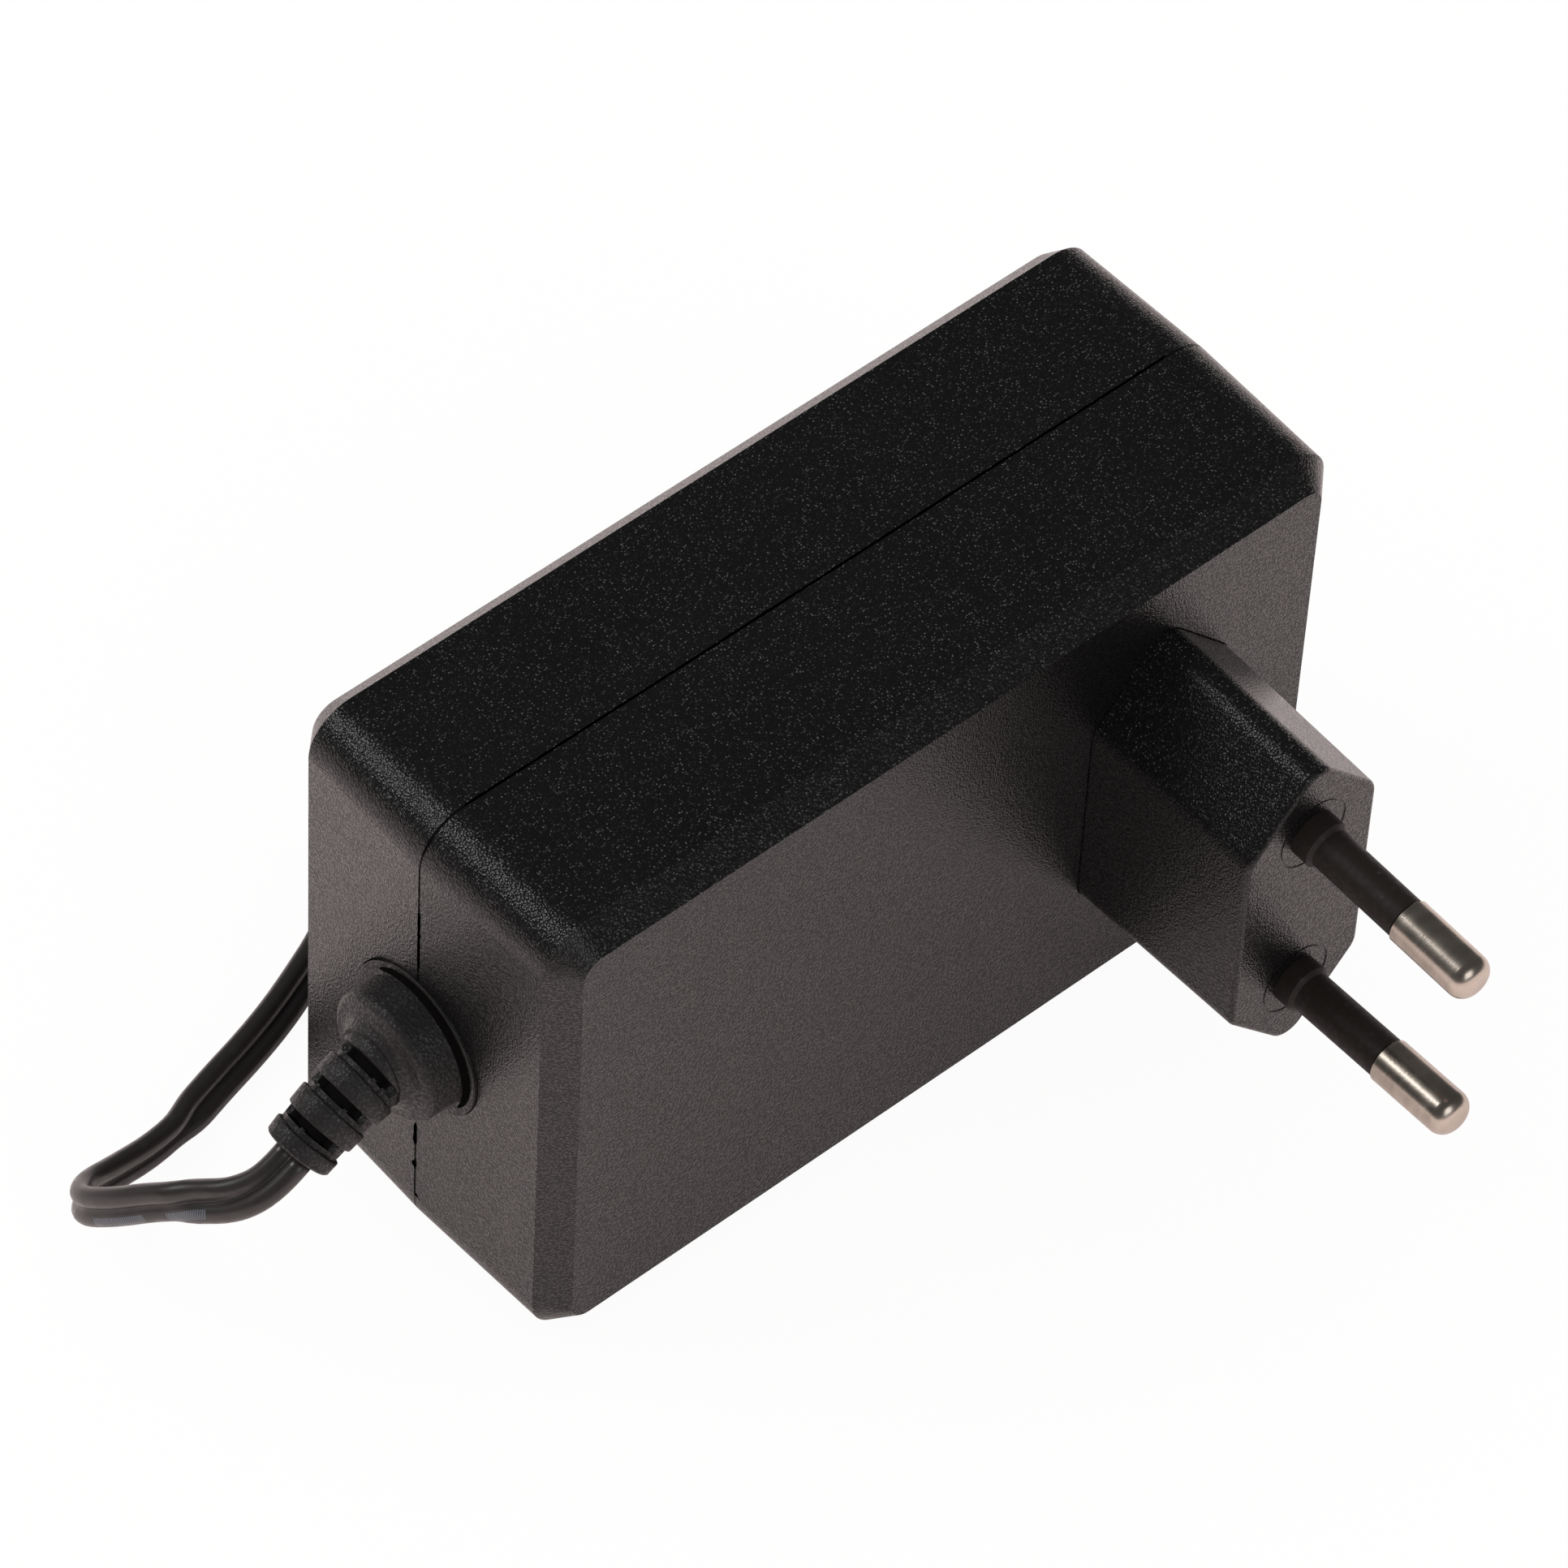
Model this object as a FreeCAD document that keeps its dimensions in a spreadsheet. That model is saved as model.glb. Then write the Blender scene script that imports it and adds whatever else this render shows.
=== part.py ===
import FreeCAD, Part
import os
from math import acos, cos, degrees, pi, radians, sin, tan

import Sketcher
from FreeCAD import Placement, Rotation, Vector

# Plug-in power adapter, mm. X runs along the case (+X = plug end), the parting plane is Y = 0 with
# the marked face and the plug on its -Y side, and Z = 0 is the case's bottom edge at the parting plane.

os.makedirs("parts", exist_ok=True)
doc = FreeCAD.newDocument("power_adapter")
sheet = doc.addObject("Spreadsheet::Sheet", "Sizes")

SIZES = [
    ("body_length", 81.5, "case along X at the parting plane"),
    ("body_height", 51.0, "case along Z at the parting plane"),
    ("front_depth", 16.3, "front shell, parting plane to marked face"),
    ("rear_depth", 15.7, "rear shell, parting plane to back face"),
    ("draft", 1.65, "mould draft of both shells, degrees"),
    ("corner_radius", 4.5, "corners of the case seen from the front"),
    ("front_chamfer", 2.2, "bevel round the marked face"),
    ("rear_chamfer", 1.8, "bevel round the back face"),
    ("wall", 2.0, "case wall"),
    ("seam_bevel", 0.12, "each shell's bevel along the seam"),
    ("lap_thickness", 0.9, "lip on the rear shell's rim"),
    ("lap_depth", 1.5, "how far the lip reaches into the front shell"),
    ("lap_clearance", 0.1, "gap round the lip"),
    ("plug_from_end", 18.9, "plug centre from the case's end"),
    ("plug_depth", 17.9, "plug block beyond the marked face"),
    ("plug_height", 35.3, "plug block, point to point"),
    ("plug_width", 13.7, "plug block across its flats"),
    ("plug_side", 20.0, "straight side of the plug block"),
    ("plug_corner", 2.0, "rounding of the block's long edges"),
    ("plug_rim", 0.45, "rounding of the block's outer face"),
    ("plug_draft", 1.1, "draft of the block, degrees"),
    ("plug_wall", 2.2, "wall of the hollow block"),
    ("plug_face", 3.0, "thickness of the block's outer face"),
    ("plug_flange", 1.5, "thickness of the flange inside the case"),
    ("plug_flange_rim", 2.2, "flange beyond the block all round"),
    ("insert_clearance", 0.08, "gap between block and case"),
    ("pin_spacing", 18.6, "between the pin axes at the block's face"),
    ("pin_converge", 1.66, "each pin's lean towards the other, degrees"),
    ("pin_length", 19.0, "pin beyond the block's face"),
    ("pin_radius", 2.0, "bare end of a pin"),
    ("pin_core", 1.45, "pin inside its sleeve"),
    ("pin_nose", 1.3, "rounding of a pin's tip"),
    ("sleeve_length", 10.8, "insulating sleeve beyond the face"),
    ("sleeve_radius", 1.84, "outside of the sleeve"),
    ("sleeve_foot", 0.35, "thickening of the sleeve at the face"),
    ("sleeve_foot_length", 1.6, "length of that thickening"),
    ("sleeve_seat", 0.2, "its seat sunk in the block's face"),
    ("pin_step", 0.2, "bevel of the bare end beside the sleeve"),
    ("pin_root", 3.0, "pin behind its boss"),
    ("sleeve_stop", 2.0, "sleeve's inner end short of the boss's end"),
    ("pin_boss_radius", 3.6, "boss round each pin inside the block"),
    ("pin_boss_length", 10.5, "boss from the face's inside"),
    ("pin_ring_radius", 3.5, "witness ring round each pin"),
    ("pin_ring_width", 0.25, "width of that ring"),
    ("pin_ring_depth", 0.06, "depth of that ring"),
    ("relief_z", 25.5, "height of the cord outlet"),
    ("recess_radius", 7.15, "round recess in the end wall"),
    ("recess_depth", 0.6, "depth of that recess"),
    ("neck_radius", 4.6, "strain relief where it passes the wall"),
    ("neck_clearance", 0.1, "gap round the neck and its flange"),
    ("disc_gap", 0.1, "gap round the relief's disc in that recess"),
    ("disc_reach", 0.12, "disc's face beyond the end wall"),
    ("drum_radius", 5.85, "round collar of the strain relief"),
    ("drum_reach", 3.7, "collar's face beyond the end wall"),
    ("drum_rounding", 0.8, "rounding of the collar's edge"),
    ("root_radius", 4.5, "cone between the collar and the ribbed part"),
    ("root_length", 0.5, "length of that cone"),
    ("relief_flange_radius", 6.6, "strain relief's flange inside the case"),
    ("relief_flange", 1.6, "thickness of that flange"),
    ("relief_boss_radius", 8.2, "boss that holds the flange"),
    ("relief_boss_keep", 1.3, "boss wall behind the flange"),
    ("relief_tail", 2.0, "strain relief behind that boss"),
    ("bend_radius", 29.0, "bend of the ribbed part's axis"),
    ("bend_reach", 4.0, "end wall to the start of the bend"),
    ("bend_drop", 1.15, "bend's top above the cord outlet"),
    ("bend_start", 18.95, "slope of the ribbed part at the collar, degrees"),
    ("rib_root", 1.5, "ribbed part before the bend's start"),
    ("bend_end", 37.0, "slope of the ribbed part's end, degrees"),
    ("rib_radius_start", 3.45, "ribbed part at the collar"),
    ("rib_radius_end", 2.96, "ribbed part at its end"),
    ("rib_core_radius", 1.9, "ribbed part between its ribs"),
    ("rib_spine", 1.3, "half width of the two spines"),
    ("rib_spine_turn", 17.0, "turn of the spines away from the sides, degrees"),
    ("rib_spine_inset", 0.3, "spines below the ribs' surface"),
    ("rib_web", 0.2, "half width of the thin webs in the slots"),
    ("rib_web_rise", 0.35, "webs above the part between the ribs"),
    ("rib_pitch", 3.05, "from one slot to the next"),
    ("rib_slot", 1.25, "width of a slot"),
    ("rib_slot_start", 1.0, "bend's start to the middle of the first slot"),
    ("cord_width", 3.6, "twin cord across both cores"),
    ("core_radius", 0.9, "one insulated core"),
    ("hank_half_length", 30.0, "folded spare cord, half its length"),
    ("hank_end_radius", 9.9, "its round ends"),
    ("hank_waist", 5.6, "half its width under the tie"),
    ("hank_height", 10.8, "three turns on edge"),
    ("hank_x", 8.0, "middle of the folded cord"),
    ("hank_gap", 0.8, "from the case's back face to the folded cord"),
    ("tie_width", 5.0, "band round the folded cord"),
    ("tie_thickness", 0.8, "thickness of that band"),
    ("dc_body_radius", 5.0, "grip of the output plug"),
    ("dc_body_length", 20.0, "straight grip of the output plug"),
    ("dc_relief_length", 9.0, "taper behind the grip"),
    ("dc_relief_radius", 2.7, "taper's thin end"),
    ("dc_flare", 0.9, "growth of that taper's radius"),
    ("dc_shoulder", 0.8, "slope from the taper to the grip"),
    ("dc_edge", 0.6, "bevel at the grip's front"),
    ("dc_lip", 0.2, "bevel at the barrel's mouth"),
    ("dc_straight", 6.5, "straight cord behind the taper"),
    ("dc_barrel_radius", 2.75, "barrel of the output plug"),
    ("dc_barrel_bore", 2.35, "inside of that barrel"),
    ("dc_barrel_length", 9.5, "barrel beyond the grip"),
    ("dc_socket", 3.0, "barrel and insulator inside the grip"),
    ("dc_collar_radius", 3.3, "barrel's collar inside the grip"),
    ("dc_tip_bore", 1.05, "contact hole in the barrel's insulator"),
    ("dc_contact", 0.3, "wall of the tubular contact in that hole"),
    ("dc_tip_length", 0.8, "insulator beyond the barrel"),
    ("dc_plug_y", 6.3, "plug's axis behind the case's back face"),
    ("dc_plug_x", 28.0, "thin end of the plug's taper"),
    ("board_gap", 1.6, "between circuit board and case walls"),
    ("board_thickness", 1.6, "circuit board"),
    ("post_height", 3.2, "posts under the board"),
    ("post_radius", 2.6, "posts under the board"),
    ("peg_radius", 1.2, "locating pegs on the posts"),
    ("peg_height", 2.4, "pegs above the posts"),
    ("peg_clearance", 0.15, "gap round a peg"),
    ("post_inset", 4.0, "peg centre from the board's edges"),
    ("transformer_x", -0.08, "share of the board"),
    ("core_size", 17.0, "transformer core along X and Z"),
    ("core_depth", 6.0, "transformer core along Y, and its middle leg"),
    ("core_leg", 3.0, "outer legs and backs of the core"),
    ("bobbin_wall", 0.8, "bobbin tube and flanges"),
    ("bobbin_gap", 0.2, "between bobbin and core"),
    ("bobbin_flange", 7.0, "bobbin flanges, half their size along Y"),
    ("bobbin_foot", 1.0, "bobbin feet on the board"),
    ("winding_gap", 0.5, "winding inside the bobbin's flanges"),
    ("tape_thickness", 0.2, "insulating tape round the winding"),
    ("capacitor_rounding", 0.6, "edge of a can"),
    ("sink_thickness", 1.2, "heat sink plates"),
    ("sink_width", 13.0, "heat sink plates along Z"),
    ("sink_height", 18.0, "heat sink plates above the board"),
    ("sink_foot", 3.0, "bent foot of a heat sink plate"),
    ("transistor_x", 0.12, "its heat sink, share of the board"),
    ("transistor_z", 0.29, "its heat sink, share of the board"),
    ("diode_x", -0.26, "its heat sink, share of the board"),
    ("diode_z", -0.27, "its heat sink, share of the board"),
    ("tab_thickness", 1.3, "metal tab of a power device"),
    ("case_thickness", 4.4, "power device over all"),
    ("device_width", 10.0, "power device along Z"),
    ("device_body", 9.0, "moulded part of a power device"),
    ("device_tab", 6.0, "bare part of its tab"),
    ("device_hole", 1.8, "hole in its tab"),
    ("device_stand", 1.5, "moulded part above the board"),
    ("device_pin_width", 0.8, "legs of a power device along Z"),
    ("device_pin_thickness", 0.6, "legs of a power device along X"),
    ("device_pin_depth", 2.8, "from the heat sink to the legs' far side"),
    ("device_pin_pitch", 2.54, "from one leg to the next"),
    ("choke_x", 0.325, "share of the board"),
    ("choke_radius", 6.0, "flanges of the line choke"),
    ("choke_drum", 3.0, "drum between the flanges"),
    ("choke_height", 12.0, "above the board"),
    ("choke_flange", 1.5, "thickness of a flange"),
    ("choke_winding_gap", 0.4, "winding inside the flanges' edge"),
    ("mains_landing_x", 0.45, "mains wires on the board, share of it"),
    ("mains_landing_z", 0.17, "mains wires on the board, share of it"),
    ("output_landing", 4.4, "strain relief's inner end to the output wires on the board"),
    ("output_spread", 2.9, "output wires on the board, each from its core's height"),
    ("wire_radius", 0.8, "wires inside the case"),
    ("bulk_capacitor_x", 0.25, "share of the board"),
    ("bulk_capacitor_z", 0.32, "share of the board"),
    ("bulk_capacitor_radius", 4.25, "can"),
    ("bulk_capacitor_height", 18.0, "above the board"),
    ("output_capacitor_gap", 0.4, "from the output wires to the output capacitors"),
    ("output_capacitor_1_z", 0.3, "share of the board"),
    ("output_capacitor_2_z", 0.06, "share of the board"),
    ("output_capacitor_radius", 3.5, "can"),
    ("output_capacitor_height", 12.5, "above the board"),
    ("fuse_x", 0.375, "share of the board"),
    ("fuse_z", 0.36, "share of the board"),
    ("fuse_radius", 2.4, "case"),
    ("fuse_height", 7.5, "above the board"),
    ("x_capacitor_x", 0.215, "share of the board"),
    ("x_capacitor_z", -0.325, "share of the board"),
    ("x_capacitor_length", 6.0, "along X"),
    ("x_capacitor_width", 13.0, "along Z"),
    ("x_capacitor_height", 12.0, "above the board"),
    ("bridge_rectifier_x", 0.18, "share of the board"),
    ("bridge_rectifier_z", -0.02, "share of the board"),
    ("bridge_rectifier_length", 5.0, "along X"),
    ("bridge_rectifier_width", 8.0, "along Z"),
    ("bridge_rectifier_height", 3.0, "above the board"),
    ("optocoupler_x", -0.1, "share of the board"),
    ("optocoupler_z", 0.34, "share of the board"),
    ("optocoupler_length", 6.5, "along X"),
    ("optocoupler_width", 4.6, "along Z"),
    ("optocoupler_height", 3.5, "above the board"),
    ("controller_chip_x", 0.02, "share of the board"),
    ("controller_chip_z", -0.36, "share of the board"),
    ("controller_chip_length", 5.0, "along X"),
    ("controller_chip_width", 4.0, "along Z"),
    ("controller_chip_height", 1.5, "above the board"),
    ("varistor_x", 0.365, "share of the board"),
    ("varistor_z", -0.36, "share of the board"),
    ("varistor_radius", 5.0, "disc"),
    ("varistor_thickness", 4.0, "along X"),
    ("y_capacitor_x", -0.1, "share of the board"),
    ("y_capacitor_z", -0.36, "share of the board"),
    ("y_capacitor_radius", 3.5, "disc"),
    ("y_capacitor_thickness", 3.0, "along X"),
]

for row, (name, number, meaning) in enumerate(SIZES, start=1):
    sheet.set(f"A{row}", str(number))
    sheet.setAlias(f"A{row}", name)
    sheet.set(f"B{row}", meaning)
doc.recompute()
size = {name: float(sheet.get(name)) for name, _, _ in SIZES}
pieces = {}


def value(expression):
    """Number that an expression of the sheet gives now."""
    result = sheet.evalExpression(expression)
    return float(getattr(result, "Value", result))


def keep(piece, label):
    """Names a finished sub-part."""
    piece.Label = label
    pieces[label] = piece
    return piece


def new_body(name):
    return doc.addObject("PartDesign::Body", name + "_body")


def new_sketch(body, name, plane, offset="0"):
    """Sketch on one of the body's own origin planes, moved along its normal by an expression."""
    sketch = body.newObject("Sketcher::SketchObject", name)
    origin_plane = next(feature for feature in body.Origin.OriginFeatures if feature.Role == plane)
    sketch.AttachmentSupport = (origin_plane, [""])
    sketch.MapMode = "FlatFace"
    sketch.setExpression("AttachmentOffset.Base.z", offset)
    return sketch


def bind(sketch, kind, geometry, point, expression, name):
    """Dimension from the sketch's origin to a point, driven by an expression."""
    index = sketch.addConstraint(Sketcher.Constraint(kind, -1, 1, geometry, point, value(expression)))
    sketch.renameConstraint(index, name)
    sketch.setExpression("Constraints." + name, expression)


def place_point(sketch, geometry, point, x, y, name):
    bind(sketch, "DistanceX", geometry, point, x, name + "_x")
    bind(sketch, "DistanceY", geometry, point, y, name + "_y")


def add_outline(sketch, corners):
    """Closed outline of straight lines through corners whose coordinates are expressions."""
    start = sketch.GeometryCount
    points = [Vector(value(x), value(y), 0) for x, y in corners]
    for i, point in enumerate(points):
        sketch.addGeometry(Part.LineSegment(point, points[(i + 1) % len(points)]), False)
    for i, (x, y) in enumerate(corners):
        previous = start + (i - 1) % len(corners)
        sketch.addConstraint(Sketcher.Constraint("Coincident", previous, 2, start + i, 1))
        place_point(sketch, start + i, 1, x, y, f"corner{start + i}")


def add_circle(sketch, x, y, radius):
    """Circle whose centre and radius are expressions."""
    circle = Part.Circle(Vector(value(x), value(y), 0), Vector(0, 0, 1), value(radius))
    index = sketch.addGeometry(circle, False)
    place_point(sketch, index, 3, x, y, f"centre{index}")
    dimension = sketch.addConstraint(Sketcher.Constraint("Radius", index, value(radius)))
    sketch.renameConstraint(dimension, f"radius{index}")
    sketch.setExpression(f"Constraints.radius{index}", radius)


def add_rounded_rectangle(sketch, left, bottom, right, top, radius):
    """Rectangle with round corners, its sides and radius given by expressions."""
    start = sketch.GeometryCount
    x0, y0, x1, y1, r = (value(item) for item in (left, bottom, right, top, radius))
    centres = [(x1 - r, y0 + r), (x1 - r, y1 - r), (x0 + r, y1 - r), (x0 + r, y0 + r)]
    sides = [((x0 + r, y0), (x1 - r, y0)), ((x1, y0 + r), (x1, y1 - r)),
             ((x1 - r, y1), (x0 + r, y1)), ((x0, y1 - r), (x0, y0 + r))]
    for i in range(4):
        (ax, ay), (bx, by) = sides[i]
        sketch.addGeometry(Part.LineSegment(Vector(ax, ay, 0), Vector(bx, by, 0)), False)
        circle = Part.Circle(Vector(centres[i][0], centres[i][1], 0), Vector(0, 0, 1), r)
        sketch.addGeometry(Part.ArcOfCircle(circle, (i - 1) * pi / 2, i * pi / 2), False)
    for i in range(4):
        line, arc = start + 2 * i, start + 2 * i + 1
        sketch.addConstraint(Sketcher.Constraint("Tangent", line, 2, arc, 1))
        sketch.addConstraint(Sketcher.Constraint("Tangent", arc, 2, start + (2 * i + 2) % 8, 1))
        sketch.addConstraint(Sketcher.Constraint("Vertical" if i % 2 else "Horizontal", line))
        if i:
            sketch.addConstraint(Sketcher.Constraint("Equal", start + 1, arc))
    dimension = sketch.addConstraint(Sketcher.Constraint("Radius", start + 1, r))
    sketch.renameConstraint(dimension, f"radius{start}")
    sketch.setExpression(f"Constraints.radius{start}", radius)
    bind(sketch, "DistanceY", start, 1, bottom, f"bottom{start}")
    bind(sketch, "DistanceX", start + 2, 1, right, f"right{start}")
    bind(sketch, "DistanceY", start + 4, 1, top, f"top{start}")
    bind(sketch, "DistanceX", start + 6, 1, left, f"left{start}")


def pad(body, sketch, name, length, backwards=False, taper=None):
    feature = body.newObject("PartDesign::Pad", name)
    feature.Profile = sketch
    feature.setExpression("Length", length)
    feature.Reversed = backwards
    if taper:
        feature.setExpression("TaperAngle", taper)
    doc.recompute()
    return feature


def cut(body, sketch, name, length, backwards=False, taper=None):
    """Pocket that has to take material away."""
    before = body.Tip.Shape.Volume
    feature = body.newObject("PartDesign::Pocket", name)
    feature.Profile = sketch
    feature.setExpression("Length", length)
    feature.Reversed = backwards
    if taper:
        feature.setExpression("TaperAngle", taper)
    doc.recompute()
    if not feature.Shape.Volume < before - 1e-6:
        raise RuntimeError(f"{name} cuts nothing")
    return feature


def dress(body, kind, name, amount, test):
    """Fillet or Chamfer on the edges of the body's last feature that pass the test."""
    base = body.Tip
    edges = [f"Edge{i}" for i, edge in enumerate(base.Shape.Edges, start=1) if test(edge.BoundBox)]
    feature = body.newObject("PartDesign::" + kind, name)
    feature.Base = (base, edges)
    feature.setExpression("Radius" if kind == "Fillet" else "Size", amount)
    doc.recompute()
    return feature


def turned(name, profile, placement=None):
    """Body turned about its Z axis from a closed (radius, height) profile."""
    body = new_body(name)
    sketch = new_sketch(body, name + "_profile", "XZ_Plane")
    add_outline(sketch, profile)
    feature = body.newObject("PartDesign::Revolution", name + "_turn")
    feature.Profile = sketch
    feature.ReferenceAxis = (sketch, ["V_Axis"])
    feature.Angle = 360
    if placement:
        body.Placement = placement
    doc.recompute()
    return body


def box(name, length, depth, height, corner):
    """Part::Box with sizes from expressions and its corner nearest the origin at a point."""
    item = doc.addObject("Part::Box", name)
    item.setExpression("Length", length)
    item.setExpression("Width", depth)
    item.setExpression("Height", height)
    item.Placement = Placement(Vector(*corner), Rotation())
    return item


def rod(name, radius, length, foot, direction):
    """Part::Cylinder with sizes from expressions, from a foot point along a direction."""
    item = doc.addObject("Part::Cylinder", name)
    item.setExpression("Radius", radius)
    item.setExpression("Height", length)
    item.Placement = Placement(Vector(*foot), Rotation(Vector(0, 0, 1), Vector(*direction)))
    return item


def subtract(name, base, tool):
    item = doc.addObject("Part::Cut", name)
    item.Base = base
    item.Tool = tool
    doc.recompute()
    return item


def join(name, *items):
    item = doc.addObject("Part::MultiFuse", name)
    item.Shapes = list(items)
    doc.recompute()
    return item


def solid(name, shape):
    item = doc.addObject("Part::Feature", name)
    item.Shape = shape
    return item


# Case. Each shell is drawn at the parting plane and drawn in by its draft towards its flat face.

OUTER = ("-Sizes.body_length / 2", "0", "Sizes.body_length / 2", "Sizes.body_height")


def inset(amount):
    """The case's outline at the parting plane, moved inwards by an expression."""
    return (f"-Sizes.body_length / 2 + ({amount})", f"{amount}",
            f"Sizes.body_length / 2 - ({amount})", f"Sizes.body_height - ({amount})",
            f"Sizes.corner_radius - ({amount})")


def case_shell(name, depth, chamfer, backwards):
    """Drafted, bevelled and hollowed half of the case; backwards puts it on the +Y side."""
    body = new_body(name)
    outline = new_sketch(body, name + "_outline", "XZ_Plane")
    add_rounded_rectangle(outline, *OUTER, "Sizes.corner_radius")
    block = pad(body, outline, name + "_block", depth, backwards, "-Sizes.draft")
    face_y = value(depth) if backwards else -value(depth)
    dress(body, "Chamfer", name + "_bevel", chamfer,
          lambda edge: abs(edge.YMin - face_y) < 0.01 and abs(edge.YMax - face_y) < 0.01)
    dress(body, "Chamfer", name + "_seam_bevel", "Sizes.seam_bevel",
          lambda edge: abs(edge.YMin) < 0.01 and abs(edge.YMax) < 0.01)
    hollow = new_sketch(body, name + "_hollow", "XZ_Plane")
    add_rounded_rectangle(hollow, *inset("Sizes.wall"))
    cut(body, hollow, name + "_cavity", f"{depth} - Sizes.wall", not backwards, "-Sizes.draft")
    return body


def relief_boss(body, name, side):
    """Half boss inside the end wall round the strain relief; side is +1 for +Y."""
    start = "-Sizes.body_length / 2 + Sizes.wall - 0.5 * Sizes.wall"
    length = "0.5 * Sizes.wall + Sizes.relief_flange + Sizes.neck_clearance + Sizes.relief_boss_keep"
    sketch = new_sketch(body, name + "_boss_outline", "YZ_Plane", start)
    r, z = size["relief_boss_radius"], size["relief_z"]
    circle = Part.Circle(Vector(0, z, 0), Vector(0, 0, 1), r)
    first = -pi / 2 if side > 0 else pi / 2
    arc = sketch.addGeometry(Part.ArcOfCircle(circle, first, first + pi), False)
    line = Part.LineSegment(Vector(0, z + side * r, 0), Vector(0, z - side * r, 0))
    chord = sketch.addGeometry(line, False)
    sketch.addConstraint(Sketcher.Constraint("Coincident", arc, 2, chord, 1))
    sketch.addConstraint(Sketcher.Constraint("Coincident", chord, 2, arc, 1))
    sketch.addConstraint(Sketcher.Constraint("PointOnObject", arc, 3, chord))
    place_point(sketch, arc, 3, "0", "Sizes.relief_z", "centre")
    radius = sketch.addConstraint(Sketcher.Constraint("Radius", arc, r))
    sketch.renameConstraint(radius, "radius")
    sketch.setExpression("Constraints.radius", "Sizes.relief_boss_radius")
    sketch.addConstraint(Sketcher.Constraint("Vertical", chord))
    pad(body, sketch, name + "_boss", length)


def relief_holes(body, name):
    """Outer recess, neck hole and flange groove for the strain relief."""
    outside = "-Sizes.body_length / 2"
    inside = "-Sizes.body_length / 2 + Sizes.wall"
    for part, offset, radius, length in (
            ("recess", outside, "Sizes.recess_radius", "Sizes.recess_depth"),
            ("neck", outside, "Sizes.neck_radius + Sizes.neck_clearance", "4 * Sizes.wall"),
            ("groove", inside, "Sizes.relief_flange_radius + Sizes.neck_clearance",
             "Sizes.relief_flange + Sizes.neck_clearance")):
        sketch = new_sketch(body, f"{name}_{part}_circle", "YZ_Plane", offset)
        add_circle(sketch, "0", "Sizes.relief_z", radius)
        cut(body, sketch, f"{name}_{part}", length, True)


PLUG_X = "(Sizes.body_length / 2 - Sizes.plug_from_end)"


def plug_outline(sketch, grow):
    """Six-sided outline of the plug block, moved outwards by an expression."""
    x, z = PLUG_X, "Sizes.body_height / 2"
    rise = "(Sizes.plug_height / 2 - Sizes.plug_side / 2)"
    slope = f"hypot(Sizes.plug_width / 2; {rise})"
    w = f"(Sizes.plug_width / 2 + {grow})"
    s = f"(Sizes.plug_side / 2 + {grow} * ({slope} - {rise}) / (Sizes.plug_width / 2))"
    h = f"(Sizes.plug_height / 2 + {grow} * {slope} / (Sizes.plug_width / 2))"
    add_outline(sketch, [(f"{x} - {w}", f"{z} - {s}"), (x, f"{z} - {h}"), (f"{x} + {w}", f"{z} - {s}"),
                         (f"{x} + {w}", f"{z} + {s}"), (x, f"{z} + {h}"), (f"{x} - {w}", f"{z} + {s}")])


ROOT_GROW = "(Sizes.plug_depth * tan(Sizes.plug_draft))"

plug_x = value(PLUG_X)
front = case_shell("front_shell", "Sizes.front_depth", "Sizes.front_chamfer", False)
relief_boss(front, "front", -1)
rebate = new_sketch(front, "rebate_ring", "XZ_Plane")
add_rounded_rectangle(rebate, *inset("(Sizes.wall - Sizes.lap_thickness - Sizes.lap_clearance)"))
add_rounded_rectangle(rebate, *inset("(Sizes.wall + 2 * Sizes.lap_clearance)"))
cut(front, rebate, "rebate", "Sizes.lap_depth + Sizes.lap_clearance", True)
relief_holes(front, "front")
window = new_sketch(front, "plug_window_outline", "XZ_Plane", "Sizes.front_depth - 1.5 * Sizes.wall")
plug_outline(window, f"({ROOT_GROW} + Sizes.insert_clearance)")
cut(front, window, "plug_window", "3 * Sizes.wall", True)
inside_y = -value("Sizes.front_depth - 1.01 * Sizes.wall")
dress(front, "Fillet", "plug_window_corners", "Sizes.plug_corner + Sizes.insert_clearance",
      lambda edge: edge.XLength < 0.01 and edge.ZLength < 0.01 and edge.YMax < inside_y
      and abs(edge.Center.x - plug_x) < size["plug_width"])
keep(front, "front_shell")

rear = case_shell("rear_shell", "Sizes.rear_depth", "Sizes.rear_chamfer", True)
relief_boss(rear, "rear", 1)
lip = new_sketch(rear, "lip_ring", "XZ_Plane")
add_rounded_rectangle(lip, *inset("(Sizes.wall - Sizes.lap_thickness)"))
add_rounded_rectangle(lip, *inset("Sizes.wall"))
pad(rear, lip, "lip", "Sizes.lap_depth")
posts = new_sketch(rear, "post_circles", "XZ_Plane", "-Sizes.rear_depth + 0.5 * Sizes.wall")
pegs = new_sketch(rear, "peg_circles", "XZ_Plane",
                  "-Sizes.rear_depth + Sizes.wall + 0.5 * Sizes.post_height")
POST_X = "(Sizes.body_length / 2 - Sizes.wall - Sizes.board_gap - Sizes.post_inset)"
POST_Z = "(Sizes.body_height / 2 - Sizes.wall - Sizes.board_gap - Sizes.post_inset)"
POSTS = [(f"{a} * {POST_X}", f"Sizes.body_height / 2 + {b} * {POST_Z}")
         for a, b in ((-1, -1), (1, -1), (-1, 1), (1, 1))]
for post_x, post_z in POSTS:
    add_circle(posts, post_x, post_z, "Sizes.post_radius")
    add_circle(pegs, post_x, post_z, "Sizes.peg_radius")
pad(rear, posts, "posts", "0.5 * Sizes.wall + Sizes.post_height")
pad(rear, pegs, "pegs", "0.5 * Sizes.post_height + Sizes.peg_height")
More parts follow.
